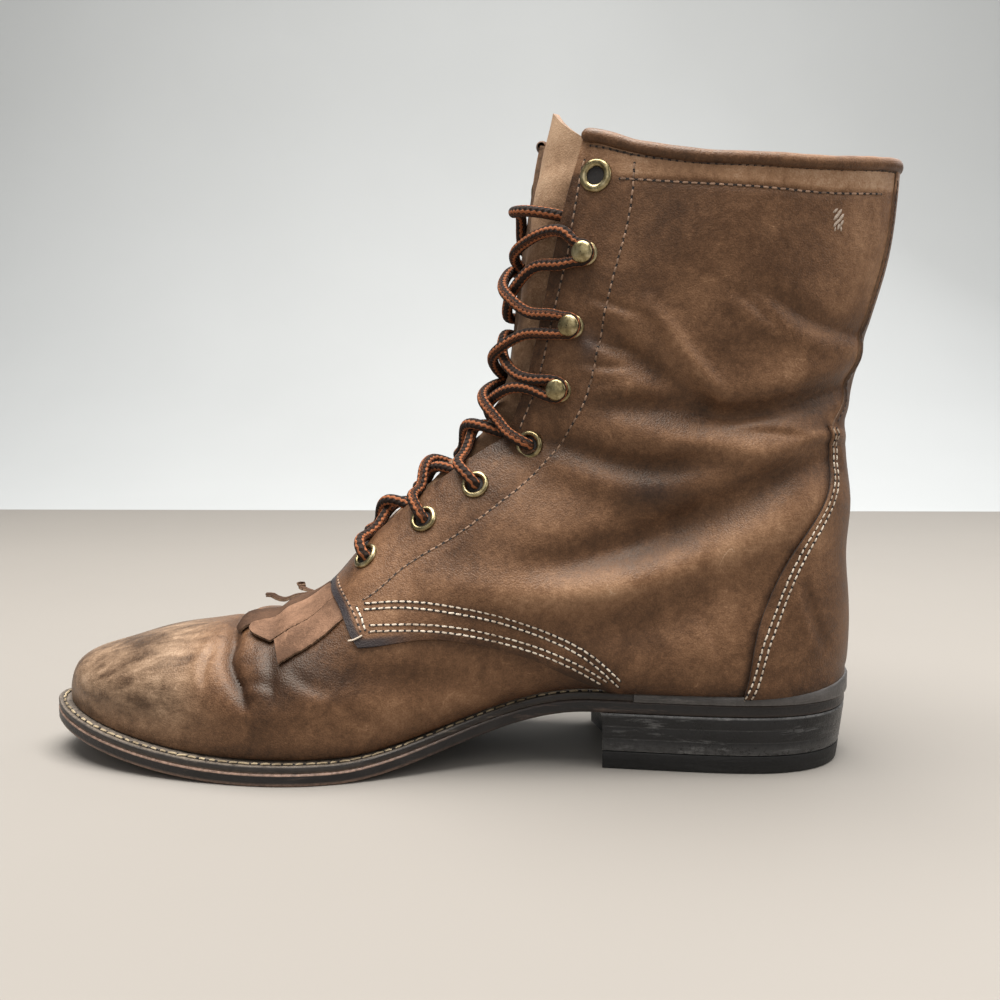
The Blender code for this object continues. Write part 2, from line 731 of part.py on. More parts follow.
def make_binding():
    """The rolled binding round the collar, from the inner facing round the back to the outer one."""
    steps = 13  # on each side
    lift = Vector((0, 0, BINDING_RADIUS + BINDING_GAP))
    cut = Slice(COLLAR_U, -WALL / 2)
    path = cut.half_points(1, steps)[::-1] + cut.half_points(-1, steps)[1:]
    tube("collar_binding", [p + lift for p in path], BINDING_RADIUS, 8, "leather")


def tube(name, path, radius, sides, finish):
    """A round rod along a path of points."""
    rings, normal = [], Vector((0, 0, 1))
    for i, point in enumerate(path):
        along = (path[min(i + 1, len(path) - 1)] - path[max(i - 1, 0)]).normalized()
        normal = (normal - along * normal.dot(along)).normalized()
        side = along.cross(normal)
        turns = [2 * math.pi * k / sides for k in range(sides)]
        rings.append([point + (normal * math.cos(t) + side * math.sin(t)) * radius for t in turns])
    return ringed(name, rings, finish)


# Fittings and lace

def fittings_both_sides():
    return [(fitting, side) for fitting in FITTINGS for side in (1, -1)]


def fitting_place(fitting, side):
    return side * back_from_edge(fitting.u, side, fitting.edge)


def fitting_matrix(fitting, side):
    """Where a fitting sits: its own Z is the outward direction of the leather."""
    y = fitting_place(fitting, side)
    turn = outward(fitting.u, y).to_track_quat("Z", "Y").to_matrix().to_4x4()
    return Matrix.Translation(to_world(Slice(fitting.u).across(y))) @ turn


def turned(name, profile, sides, ring):
    """A mesh turned round Z from (radius, height) points. ring leaves the middle open."""
    points, faces = [], []
    count = len(profile)
    for k in range(sides):
        angle = 2 * math.pi * k / sides
        points += [Vector((r * math.cos(angle), r * math.sin(angle), z)) * MM for r, z in profile]
    last = count if ring else count - 1
    for k in range(sides):
        for i in range(last):
            a, b = k * count + i, k * count + (i + 1) % count
            c, d = (k + 1) % sides * count + (i + 1) % count, (k + 1) % sides * count + i
            faces.append((a, b, c, d))
    mesh = bpy.data.meshes.new(name)
    mesh.from_pydata(points, [], faces)
    made = bmesh.new()
    made.from_mesh(mesh)
    bmesh.ops.remove_doubles(made, verts=made.verts, dist=1e-7)
    bmesh.ops.dissolve_degenerate(made, edges=made.edges, dist=1e-8)
    bmesh.ops.recalc_face_normals(made, faces=made.faces)
    made.to_mesh(mesh)
    made.free()
    return mesh


def eyelet_mesh(flange):
    barrel = EYELET_HOLE + EYELET_WALL
    under = FITTING_LIFT
    profile = [
        (EYELET_HOLE, -FITTING_DEPTH),
        (barrel, -FITTING_DEPTH),
        (barrel, under),
        (flange, under),
        (flange - 0.3, under + 0.8),
        ((flange + barrel) / 2, under + 1.25),
        (EYELET_HOLE, under + 0.9),
    ]
    return turned("eyelet", profile, 10, True)


def hook_mesh(base):
    under = FITTING_LIFT
    profile = [
        (0, -FITTING_DEPTH),
        (HOOK_SHANK, -FITTING_DEPTH),
        (HOOK_SHANK, under),
        (base, under),
        (base - 0.4, under + 0.8),
        (HOOK_NECK, under + 1.0),
        (HOOK_NECK, HOOK_CAP_LEVEL),
        (HOOK_CAP, HOOK_CAP_LEVEL),
        (HOOK_CAP, HOOK_CAP_LEVEL + 0.7),
        (HOOK_CAP * 0.72, HOOK_CAP_LEVEL + 1.9),
        (0, HOOK_CAP_LEVEL + 2.4),
    ]
    return turned("hook", profile, 8, False)


def make_fittings():
    meshes = {}
    for fitting, side in fittings_both_sides():
        key = (fitting.kind, fitting.flange)
        if key not in meshes:
            meshes[key] = (eyelet_mesh if fitting.kind == "eyelet" else hook_mesh)(fitting.flange)
            meshes[key].materials.append(material("brass"))
            meshes[key].shade_smooth()
            meshes[key].set_sharp_from_angle(angle=SHARP_ANGLE)
        made = bpy.data.objects.new(f"{fitting.name}_{'inner' if side > 0 else 'outer'}", meshes[key])
        bpy.context.scene.collection.objects.link(made)
        made.parent = bpy.data.objects["boot"]
        made.matrix_world = fitting_matrix(fitting, side)


def lace_strand(name, first_side):
    """A rod that swings from facing to facing over the tongue, turning just short of each eyelet."""
    steps = 6  # from one facing to the other
    laced = FITTINGS[:TOP_LACED]
    path = []
    for number, (low, high) in enumerate(zip(laced, laced[1:])):
        side = first_side * (-1) ** number
        start = side * back_from_edge(low.u, side, low.edge - LACE_TURN)
        end = -side * back_from_edge(high.u, -side, high.edge - LACE_TURN)
        for i in range(0 if not path else 1, steps + 1):
            swing = (1 - math.cos(math.pi * i / steps)) / 2
            cut = Slice(low.u + (high.u - low.u) * i / steps, LACE_LIFT)
            path.append(cut.across(start + (end - start) * swing))
    return tube(name, path, LACE_RADIUS, 6, "lace_cord")


def make_lace():
    """Two strands that cross between each pair of eyelets and are joined where they cross."""
    lace = lace_strand("lace", 1)
    other = lace_strand("lace_other_strand", -1)
    other.hide_render = True
    other.display_type = "WIRE"
    join = lace.modifiers.new("join", "BOOLEAN")
    join.operation = "UNION"
    join.object = other


def main():
    for old in list(bpy.data.objects):
        bpy.data.objects.remove(old)
    boot = bpy.data.objects.new("boot", None)
    bpy.context.scene.collection.objects.link(boot)
    make_outsole()
    make_welt()
    make_rand()
    make_heel()
    make_insole()
    make_upper()
    make_counter()
    make_tongue()
    make_kiltie()
    make_binding()
    make_fittings()
    make_lace()


main()
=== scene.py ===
"""Looks of the lace-up western boot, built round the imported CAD: panels, seams, lacing, sole and stage.

Shapes are worked out in millimetres in the boot's own measure and turned into metres as each piece is made:
  s  along the foot, 0 at the back of the sole and SOLE_LENGTH at the tip of the toe
  y  across the foot, positive to the inner (medial) side
  z  up from the floor
A place on the upper is (side, u, q): side is 1 inner or -1 outer, and u runs over the sections from the toe
to the collar. q runs round a section from the seam with the sole (or the back seam) at 0, over the widest
place at 1, to the ridge of the instep at 2.
"""

import math
from collections import namedtuple

import bmesh
import bpy
import numpy as np
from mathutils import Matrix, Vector

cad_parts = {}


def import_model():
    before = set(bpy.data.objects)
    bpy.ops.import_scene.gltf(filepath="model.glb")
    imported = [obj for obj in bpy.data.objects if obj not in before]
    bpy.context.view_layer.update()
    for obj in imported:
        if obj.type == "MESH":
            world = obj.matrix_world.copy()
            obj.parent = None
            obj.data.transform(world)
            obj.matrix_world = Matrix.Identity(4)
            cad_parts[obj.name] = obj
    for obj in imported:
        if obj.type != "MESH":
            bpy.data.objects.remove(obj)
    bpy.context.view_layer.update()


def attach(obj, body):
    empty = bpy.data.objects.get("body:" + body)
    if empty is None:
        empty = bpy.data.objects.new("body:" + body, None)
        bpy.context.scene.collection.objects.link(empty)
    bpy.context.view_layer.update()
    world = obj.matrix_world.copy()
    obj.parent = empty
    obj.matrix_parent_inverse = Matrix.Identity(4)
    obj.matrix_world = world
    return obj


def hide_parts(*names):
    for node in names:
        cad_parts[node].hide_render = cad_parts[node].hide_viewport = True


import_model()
RANDOM = np.random.default_rng(7)

MM = 0.001
SIDES = (1, -1)
SIDE_VIEW, TOP_VIEW = [0, 2], [0, 1]  # the two coordinates seen from there

# Lengths in millimetres, and places u on the upper: those of the CAD model, unless a line says that they
# are of the worn boot
SOLE_LENGTH = 300.0
ORIGIN_S = 142.175
ORIGIN_Y = -0.782
GAP = 0.3
HEEL_BREAST_S = 93.0
HEEL_BREAST_HOLLOW = 4.0
HEEL_TAPER = 2.4  # of the worn boot
HEEL_HEIGHT = 20.7
SHANK_FRONT_S = 188.0
TOE_SPRING_S = 215.0
TOE_SPRING = 13.0
OUTSOLE_THICK = 4.8
WELT_THICK = 2.2
WELT_WIDTH = 12.0
SEAM_GAP = 1.0
SOLE_STACK = OUTSOLE_THICK + GAP + WELT_THICK + SEAM_GAP
RAND_RISE = 3.8
RAND_RISE_LENGTH = 42.0
RAND_LIP = 0.9
INSOLE_THICK = 3.0
WALL = 2.4
TONGUE_THICK = 2.2
TONGUE_OVERLAP = 13.0
TONGUE_TOP_U = 21.78  # of the worn boot
TONGUE_FALL = 1.1
TONGUE_NEAR_FALL = 0.62  # of the worn boot, on the inner side
TONGUE_PEAK = -0.35
BINDING_RADIUS = 2.6
EYELET_HOLE = 3.0

Outline = namedtuple("Outline", "s medial lateral")
OUTLINE = [
    Outline(0, 0, 0),
    Outline(10, 25.0, 25.0),
    Outline(32, 35.2, 35.0),
    Outline(60, 34.6, 35.8),
    Outline(92, 30.4, 34.6),
    Outline(118, 28.4, 36.0),
    Outline(145, 33.0, 41.0),
    Outline(172, 43.0, 48.0),
    Outline(198, 50.0, 52.0),
    Outline(222, 48.8, 49.4),
    Outline(248, 42.6, 42.2),
    Outline(270, 34.0, 33.2),
    Outline(286, 24.0, 23.2),
    Outline(296, 12.8, 12.4),
    Outline(300, 0, 0),
]
Margin = namedtuple("Margin", "s width")
MARGIN = [
    Margin(0, 1.6),
    Margin(60, 1.8),
    Margin(118, 2.8),
    Margin(198, 4.0),
    Margin(270, 4.6),
    Margin(300, 4.8),
]
Section = namedtuple("Section", "t_s t_z b_s b_z half_m half_l widest arch base ridge gap_m gap_l dip")
SOLE = None
TOE_SWELL = 1.4
SECTIONS = [
    Section(294.9, 25.5, 295.2, SOLE, SOLE, SOLE, 0.36, 2.3, 2.2, 0.0, 0, 0, 0),
    Section(292.6, 32.3, 294.0, SOLE, SOLE, SOLE, 0.36, 2.3, 2.2, 0.0, 0, 0, 0),
    Section(287.5, 37.3, 290.0, SOLE, SOLE, SOLE, 0.36, 2.3, 2.2, 0.0, 0, 0, 0),
    Section(279.0, 41.3, 283.0, SOLE, SOLE, SOLE, 0.36, 2.3, 2.2, 0.2, 0, 0, 0),
    Section(266.0, 45.0, 271.5, SOLE, SOLE, SOLE, 0.35, 2.25, 2.2, 0.6, 0, 0, 0),
    Section(250.0, 47.4, 256.0, SOLE, SOLE, SOLE, 0.34, 2.15, 2.2, 1.2, 0, 0, 0),
    Section(232.0, 49.8, 236.0, SOLE, SOLE, SOLE, 0.32, 2.0, 2.2, 2.0, 0, 0, 0),
    Section(212.0, 54.3, 212.0, SOLE, 48.2, 49.8, 0.30, 1.85, 2.2, 2.6, 0, 0, 0),
    Section(193.0, 63.5, 188.0, SOLE, 47.2, 50.0, 0.30, 1.8, 2.2, 3.0, 0, 0, 0),
    Section(179.0, 81.0, 162.0, SOLE, 42.0, 46.4, 0.31, 1.8, 2.2, 3.0, 9.0, 8.0, 0),
    Section(165.0, 95.5, 130.0, SOLE, 37.8, 41.0, 0.33, 1.8, 2.2, 3.0, 10.0, 9.0, 0),
    Section(153.0, 106.5, 94.0, SOLE, 36.2, 37.6, 0.36, 1.85, 2.3, 3.0, 11.0, 9.5, 0),
    Section(144.0, 115.0, 54.0, SOLE, 35.6, 36.4, 0.38, 1.9, 2.5, 2.8, 12.0, 9.5, 0),
    Section(138.5, 120.5, 18.0, SOLE, 35.0, 35.6, 0.40, 1.95, 2.8, 2.6, 13.0, 9.5, 0),
    Section(135.5, 124.5, 1.6, SOLE, 34.4, 35.0, 0.42, 1.95, 3.0, 2.4, 14.0, 9.5, 0),
    Section(133.5, 129.0, 0.6, 62.0, 34.0, 34.6, 0.44, 2.0, 2.9, 2.2, 15.0, 9.0, 0),
    Section(131.5, 135.5, 0.6, 95.0, 33.6, 34.2, 0.46, 2.0, 2.7, 2.0, 16.0, 9.0, 0),
    Section(129.0, 144.5, 2.4, 121.0, 33.4, 34.2, 0.48, 2.05, 2.5, 1.6, 17.5, 8.5, 0),
    Section(126.5, 160.0, -5.4, 149.0, 34.6, 35.4, 0.49, 2.1, 2.4, 1.2, 19.5, 8.0, 0.5),
    Section(123.5, 185.0, -12.2, 179.0, 36.6, 37.4, 0.50, 2.15, 2.3, 0.8, 22.5, 7.5, 1.6),
    Section(119.5, 208.5, -14.0, 203.5, 37.8, 38.6, 0.50, 2.2, 2.2, 0.4, 25.0, 6.8, 3.4),
    Section(117.2, 221.5, -14.2, 215.0, 38.2, 39.0, 0.50, 2.2, 2.2, 0.2, 26.2, 6.4, 4.6),
    Section(112.6, 243.0, -14.6, 235.0, 38.6, 39.4, 0.50, 2.2, 2.2, 0.0, 27.0, 6.0, 5.0),
]
THROAT_U = 8.0
HEEL_TURN_U = 14.0
CUP_U = 15.0
SHAFT_U = 18.0
COLLAR_U = 21.0

# As in the CAD model, but eyelet_4 and hook_5 lie a little higher
Fitting = namedtuple("Fitting", "name u kind flange edge")
FITTINGS = [
    Fitting("eyelet_1", 9.0, "eyelet", 5.2, 9.5),
    Fitting("eyelet_2", 10.25, "eyelet", 5.2, 12.0),
    Fitting("eyelet_3", 11.6, "eyelet", 5.2, 12.0),
    Fitting("eyelet_4", 14.35, "eyelet", 5.2, 11.0),
    Fitting("hook_5", 16.6, "hook", 4.6, 15.0),
    Fitting("hook_6", 17.97, "hook", 4.6, 14.0),
    Fitting("hook_7", 19.0, "hook", 4.6, 13.0),
    Fitting("eyelet_8", 20.25, "eyelet", 5.8, 9.0),
]

# Layers of leather over the CAD surface
QUARTER_STEP = 1.3
COUNTER_STEP = 0.5
BACKSTAY_STEP = 0.8

# The lace is thinner than in the CAD model, and drawn thinner still round a hook
LACE_RADIUS = 2.05
HOOKED_LACE_RADIUS = 1.75

# Lines on the side of the boot, as seen square to it
Spot = namedtuple("Spot", "s z")


def spots(*places):
    return [Spot(*place) for place in places]


QUARTER_FRONT = spots(
    (192.8, 65.4), (191.0, 62.6), (187.2, 59.4), (184.2, 55.2), (181.2, 49.8), (178.6, 46.4),
)
QUARTER_LOW = spots(
    (178.6, 46.4), (172.8, 46.9), (164.2, 48.2), (153.8, 49.2), (143.3, 48.4), (129.4, 45.3),
    (118.9, 42.2), (105.0, 36.0), (92.0, 30.6),
)
COLLAR_LINE = spots(
    (-14.0, 215.4), (10.0, 212.5), (29.0, 212.2), (46.0, 212.9), (63.0, 213.8), (76.0, 215.9),
    (86.0, 218.2), (95.0, 221.2), (104.0, 223.2),
)
COUNTER_EDGE = spots(
    (44.4, 28.0), (42.6, 36.0), (41.6, 43.0), (39.8, 52.6), (36.9, 61.2), (30.3, 75.3), (24.8, 83.8),
    (19.0, 92.3), (15.4, 99.0), (13.2, 106.0), (12.8, 113.0), (13.6, 118.5), (15.0, 123.5),
)

# Rows of stitches, seen the same way
FACING_ROW = spots(
    (84.0, 214.0), (84.4, 206.0), (85.4, 196.6), (90.1, 176.8), (95.9, 149.7), (99.9, 132.5),
    (106.7, 120.2), (115.4, 108.4), (129.6, 95.7), (147.3, 83.0), (165.1, 71.6), (173.5, 64.2), (178.4, 60.9),
)
UPPER_PAIR = spots(
    (178.0, 59.3), (164.5, 60.7), (147, 59.5), (129.4, 56.2), (112, 50), (98, 42.8), (86.5, 33),
)
LOWER_PAIR = spots(
    (176.0, 52.6), (164.3, 53.2), (147, 52.6), (129.4, 49.2), (112, 43.6), (98.5, 37.4), (91.5, 33.2),
)
COLLAR_ROW = spots((90.6, 207.5), (62.4, 204.8), (42, 203.6), (17.6, 202.3), (-5, 203.9))
FRONT_ROW = spots((189.1, 66.4), (186.6, 63.9), (184.0, 61.4), (180.4, 57.0), (177.4, 50.8))
FRONT_JOIN = spots((180.2, 60.0), (178.4, 57.2), (177.0, 54.4), (175.8, 50.6))
LOOSE_THREAD = spots((181.9, 48.4), (180.3, 48.7), (178.7, 49.4), (177.0, 50.3))


# Curves

def natural_spline(xs, ys):
    """A smooth function through the points, with no bend at its two ends."""
    xs, ys = np.asarray(xs, float), np.asarray(ys, float)
    n, h = len(xs), np.diff(xs)
    rows, right = np.eye(n), np.zeros(n)
    for i in range(1, n - 1):
        rows[i, i - 1 : i + 2] = h[i - 1], 2 * (h[i - 1] + h[i]), h[i]
        right[i] = 6 * ((ys[i + 1] - ys[i]) / h[i] - (ys[i] - ys[i - 1]) / h[i - 1])
    bend = np.linalg.solve(rows, right)

    def value(x):
        i = np.clip(np.searchsorted(xs, x) - 1, 0, n - 2)
        a, b = xs[i + 1] - x, x - xs[i]
        return (
            (bend[i] * a**3 + bend[i + 1] * b**3) / (6 * h[i])
            + (ys[i] / h[i] - bend[i] * h[i] / 6) * a
            + (ys[i + 1] / h[i] - bend[i + 1] * h[i] / 6) * b
        )

    return value


def smoothstep(t):
    t = np.clip(t, 0.0, 1.0)
    return t * t * (3 - 2 * t)


def reach_along(points):
    """Running length along a row of points."""
    return np.concatenate([[0.0], np.cumsum(np.linalg.norm(np.diff(points, axis=0), axis=1))])


def smooth_path(points, count):
    """Evenly spaced points along a smooth curve through the given ones."""
    points = np.asarray(points, float)
    reach = reach_along(points)
    fine = np.linspace(0, reach[-1], 16 * len(points))
    curve = np.stack([natural_spline(reach, column)(fine) for column in points.T], axis=1)
    reach = reach_along(curve)
    wanted = np.linspace(0, reach[-1], count)
    return np.stack([np.interp(wanted, reach, column) for column in curve.T], axis=1)


def row_spline(rows, across, up):
    """A smooth function through two named columns of a table; its rows run either way."""
    rows = sorted(rows, key=lambda row: getattr(row, across))
    return natural_spline([getattr(row, across) for row in rows], [getattr(row, up) for row in rows])


# Bottom of the boot

def round_end_angle(s):
    return np.arccos(np.clip(1 - 2 * np.asarray(s, float) / SOLE_LENGTH, -1, 1))


_turns = round_end_angle([r.s for r in OUTLINE])
_outline = {
    1: natural_spline(_turns, [r.medial for r in OUTLINE]),
    -1: natural_spline(_turns, [r.lateral for r in OUTLINE]),
}
_margin = row_spline(MARGIN, "s", "width")


def sole_edge(angle, side, inset=0.0):
    """(s, y) on the edge of the sole, moved inwards by inset."""
    step = 1e-3

    def at(a):
        return SOLE_LENGTH * (1 - np.cos(a)) / 2, side * np.maximum(0.0, _outline[side](a))

    angle = np.asarray(angle, float)
    s, y = at(angle)
    (s0, y0), (s1, y1) = at(np.maximum(0.0, angle - step)), at(np.minimum(np.pi, angle + step))
    along = np.hypot(s1 - s0, y1 - y0)
    return s + side * inset * (y1 - y0) / along, y - side * inset * (s1 - s0) / along


def edge_line(side, inset):
    """Rising distances and half widths along the edge of the sole, moved inwards by inset(s)."""
    angles = np.linspace(0, np.pi, 361)
    s, y = sole_edge(angles, side, inset(SOLE_LENGTH * (1 - np.cos(angles)) / 2))
    return s, np.maximum(0.0, side * y)


def half_width(line, s):
    return np.interp(s, *line, left=0.0, right=0.0)


def sole_bottom(s):
    s = np.asarray(s, float)
    spring = np.maximum(0.0, s - TOE_SPRING_S) / (SOLE_LENGTH - TOE_SPRING_S)
    shank = smoothstep((SHANK_FRONT_S - s) / (SHANK_FRONT_S - HEEL_BREAST_S - HEEL_BREAST_HOLLOW))
    return (HEEL_HEIGHT + GAP) * shank + TOE_SPRING * spring**2


def seam_level(s):
    """Height of the seam between the upper and the bottom of the boot."""
    cup = np.maximum(0.0, 1 - np.asarray(s, float) / RAND_RISE_LENGTH)
    return sole_bottom(s) + SOLE_STACK + RAND_RISE * cup**2


# Surface of the upper

_seam = {side: edge_line(side, _margin) for side in SIDES}


def section_value(row, name):
    value = getattr(row, name)
    if value is not SOLE:
        return value
    if name == "b_z":
        return seam_level(row.b_s)
    width = half_width(_seam[1 if name == "half_m" else -1], row.b_s)
    return width + TOE_SWELL if width > 0 else 0.0


_rows = np.arange(len(SECTIONS))
_column = {
    name: natural_spline(_rows, [section_value(row, name) for row in SECTIONS]) for name in Section._fields
}


def cut_at(side, u):
    """The values of the sections at u."""
    c = {name: _column[name](u) for name in Section._fields}
    c["half"] = np.maximum(0.0, c["half_m" if side > 0 else "half_l"])
    c["gap"] = np.maximum(0.0, c["gap_m" if side > 0 else "gap_l"]) * (u > THROAT_U)
    on_sole = u < HEEL_TURN_U
    c["b_z"] = np.where(on_sole, seam_level(c["b_s"]), c["b_z"])
    c["back"] = np.where(on_sole, 0.0, c["b_s"] - MARGIN[0].width)
    c["cup"] = 1 - smoothstep((u - CUP_U) / (SHAFT_U - CUP_U))
    return c


def cad_surface(side, u, q):
    """Points of the CAD model's outer surface."""
    u, q = np.broadcast_arrays(np.asarray(u, float), np.asarray(q, float))
    c = cut_at(side, u)
    half = c["half"]

    def plan(share):
        return half_width(_seam[side], c["b_s"] + (c["t_s"] - c["b_s"]) * share - c["back"])

    angle, power = np.clip(q, 0, 1) * np.pi / 2, 2 / c["base"]
    share_low = c["widest"] * (1 - np.maximum(0, np.cos(angle)) ** power)
    swell = np.sin(angle) ** power
    cup = plan(share_low) + (half - plan(c["widest"])) * swell
    y_low = np.maximum(0.0, c["cup"] * cup + (1 - c["cup"]) * half * swell) * (u > 0)
    angle, power = np.clip(q - 1, 0, 1) * np.pi / 2, 2 / c["arch"]
    share_high = c["widest"] + (1 - c["widest"]) * np.sin(angle) ** power
    y_high = half * np.maximum(0, np.cos(angle)) ** power * (u > 0)
    share, y = np.where(q < 1, share_low, share_high), np.where(q < 1, y_low, y_high)
    s = c["b_s"] + (c["t_s"] - c["b_s"]) * share
    z = c["b_z"] + (c["t_z"] - c["b_z"]) * share - c["dip"] * (y / np.maximum(half, TINY)) ** 2
    return np.stack([s, side * y + c["ridge"] * share**2, z], axis=-1)


U_STEP, Q_STEP = 0.05, 0.02
LAST_U = 22
GRID_U = np.arange(0, LAST_U + U_STEP / 2, U_STEP)
GRID_Q = np.arange(0, 2 + Q_STEP / 2, Q_STEP)
SMOOTH_ROWS = 9  # spread of the smoothing round the ankle, in rows of the grid
TINY = 1e-6  # keeps a division from failing

# Where the worn boot lies below the CAD surface
Hollow = namedtuple("Hollow", "z spread depth")
BACK_HOLLOWS = [Hollow(157, 32, 4.2), Hollow(124, 5, 1.6), Hollow(79, 14, 2.4)]
TOE_FLAT = 2.0
TOE_FLAT_S = 273.0
TOE_FLAT_SPREAD = 15.0


def make_skin():
    """The surface on one grid from the inner seam over the ridge to the outer seam, smoothed at the ankle."""
    inner, outer = (cad_surface(side, GRID_U[:, None], GRID_Q[None, :]) for side in SIDES)
    points = np.concatenate([inner, outer[:, -2::-1]], axis=1)
    reach = 3 * SMOOTH_ROWS
    weights = np.exp(-0.5 * (np.arange(-reach, reach + 1) / SMOOTH_ROWS) ** 2)
    weights /= weights.sum()
    padded = np.pad(points, ((reach, reach), (0, 0), (0, 0)), mode="reflect", reflect_type="odd")
    soft = sum(w * padded[i : i + len(GRID_U)] for i, w in enumerate(weights))
    q = np.concatenate([GRID_Q, GRID_Q[-2::-1]])
    at_ankle = smoothstep((GRID_U - 9.5) / 2) * (1 - smoothstep((GRID_U - 18) / 2))
    amount = smoothstep(q / 0.6)[None, :] * at_ankle[:, None]
    points = points + amount[..., None] * (soft - points)
    s, _, z = np.moveaxis(points, -1, 0)
    at_back = 1 - smoothstep((s + 15) / 45)
    for hollow in BACK_HOLLOWS:
        sunk = hollow.depth * np.exp(-(((z - hollow.z) / hollow.spread) ** 2)) * at_back
        points = points + sunk[..., None] * (1.0, 0, 0)
    flat = TOE_FLAT * np.exp(-(((s - TOE_FLAT_S) / TOE_FLAT_SPREAD) ** 2)) * smoothstep((z - 22) / 16)
    points = points - flat[..., None] * (0, 0, 1.0)
    normals = np.cross(np.gradient(points, axis=0), np.gradient(points, axis=1))
    lengths = np.linalg.norm(normals, axis=-1, keepdims=True)
    normals = np.where(lengths > 1e-9, normals / np.maximum(lengths, 1e-9), np.array([1.0, 0, 0]))
    normals[0] = (1.0, 0, 0)
    return points, normals


SKIN_POINTS, SKIN_NORMALS = make_skin()


def skin(side, u, q):
    """Points and outward normals of the upper's surface at places (u, q) of a side."""
    u, q = np.broadcast_arrays(np.asarray(u, float), np.asarray(q, float))
    row = np.clip(u / U_STEP, 0, len(GRID_U) - 1.001)
    column = np.clip((q if side > 0 else 4 - q) / Q_STEP, 0, 2 * (len(GRID_Q) - 1) - 0.001)
    i, j = row.astype(int), column.astype(int)
    a, b = (row - i)[..., None], (column - j)[..., None]

    def blend(grid):
        low = grid[i, j] * (1 - b) + grid[i, j + 1] * b
        high = grid[i + 1, j] * (1 - b) + grid[i + 1, j + 1] * b
        return low * (1 - a) + high * a

    normals = blend(SKIN_NORMALS)
    return blend(SKIN_POINTS), normals / np.linalg.norm(normals, axis=-1, keepdims=True)


def cross(a, b):
    return a[:, 0] * b[:, 1] - a[:, 1] * b[:, 0]


def close_in(side, u, q, wanted, axes, rounds, u_step, u_most, q_least):
    """Moves places (u, q) until two of their coordinates, named by axes, are the wanted ones."""
    step = 0.01
    for _ in range(rounds):
        here = skin(side, u, q)[0][:, axes]
        along = (skin(side, u + step, q)[0][:, axes] - here) / step
        over = (skin(side, u, q + step)[0][:, axes] - here) / step
        miss = wanted - here
        area = cross(along, over)
        area = np.where(np.abs(area) < 1e-3, np.inf, area)
        u = np.clip(u + np.clip(cross(miss, over) / area, -u_step, u_step), 0, u_most)
        q = np.clip(q + np.clip(cross(along, miss) / area, -0.1, 0.1), q_least, 2)
    return u, q


def spots_on(side, line, count):
    """Places (u, q) along a line that is given as it is seen square to the side."""
    wanted = smooth_path(line, count)
    us, qs = GRID_U[::2], GRID_Q[1:-2:2]
    seen = skin(side, us[:, None], qs[None, :])[0][..., SIDE_VIEW].reshape(-1, 2)
    nearest = np.array([np.argmin(((seen - target) ** 2).sum(axis=1)) for target in wanted])
    u, q = us[nearest // len(qs)], qs[nearest % len(qs)]
    return close_in(side, u, q, wanted, SIDE_VIEW, 6, 0.1, LAST_U, 0)


def across_q(side, u, y):
    """q of the place on the arch that lies y from the ridge."""
    c = cut_at(side, np.asarray(u, float))
    share = np.clip(np.abs(y) / np.maximum(c["half"], TINY), 0, 1)
    return 1 + np.arccos(share ** (c["arch"] / 2)) * 2 / np.pi


def edge_q(side, u):
    """Where the facing ends, round a section."""
    return across_q(side, u, cut_at(side, np.asarray(u, float))["gap"])


def behind_edge(side, u, distance):
    """q of the places that far behind the edge of the facing, measured on the leather."""
    u, distance = np.broadcast_arrays(np.atleast_1d(np.asarray(u, float)), np.asarray(distance, float))
    found = np.empty(len(u))
    for k in range(len(u)):
        qs = np.linspace(edge_q(side, u[k]), 0.5, 200)
        found[k] = np.interp(distance[k], reach_along(skin(side, u[k], qs)[0]), qs)
    return found


# Creases and stains of the leather, with painted highlight and shade

Fold = namedtuple("Fold", "sides view width depth lip points")
BOTH, INNER, OUTER = (1, -1), (1,), (-1,)
ANKLE = [
    (-10, 141), (10, 136.5), (21, 132.5), (33, 129.7), (47, 127.3), (60.5, 128.3), (74, 130.4),
    (90, 130.7), (100, 131),
]
UNDER_ANKLE = [
    (122, 119), (113.7, 118), (103, 115), (94.6, 112.3), (81, 109.3), (67, 109.7), (55, 112.5), (44, 114),
]
INSTEP = [
    (124, 75), (108.5, 76), (94.6, 79.3), (80.6, 83.5), (67, 88.5), (53, 94.5), (39.4, 102),
    (25, 109.6), (8, 114),
]
ANKLE_RIDGE = [(94, 125), (74, 118.7), (60, 116.3), (46.5, 114.6), (32.6, 114.5), (19, 117.8), (4, 122)]
INSTEP_RIDGE = [
    (160, 69), (136, 65.6), (115.5, 64), (94.6, 66.5), (73.7, 71.8), (53, 79.8), (39, 85.8),
    (25, 93.6), (8, 106),
]
HEEL_RIDGE = [(120, 110), (112, 108.5), (94.5, 103.9), (81, 100.6), (67, 101.4), (50, 106)]
SHAFT_RIDGE = [(80, 169), (77.5, 163.8), (73, 159), (67.8, 151.2), (60.8, 142.7), (53.7, 133.8), (50, 129)]
SHAFT_BACK = [(46, 172), (36.8, 167.7), (28.7, 163.1), (19, 158.9), (7.2, 156.5), (-8, 155)]
BALL = [(224, 48), (226, 43), (223.5, 38), (219.4, 32), (216, 26)]
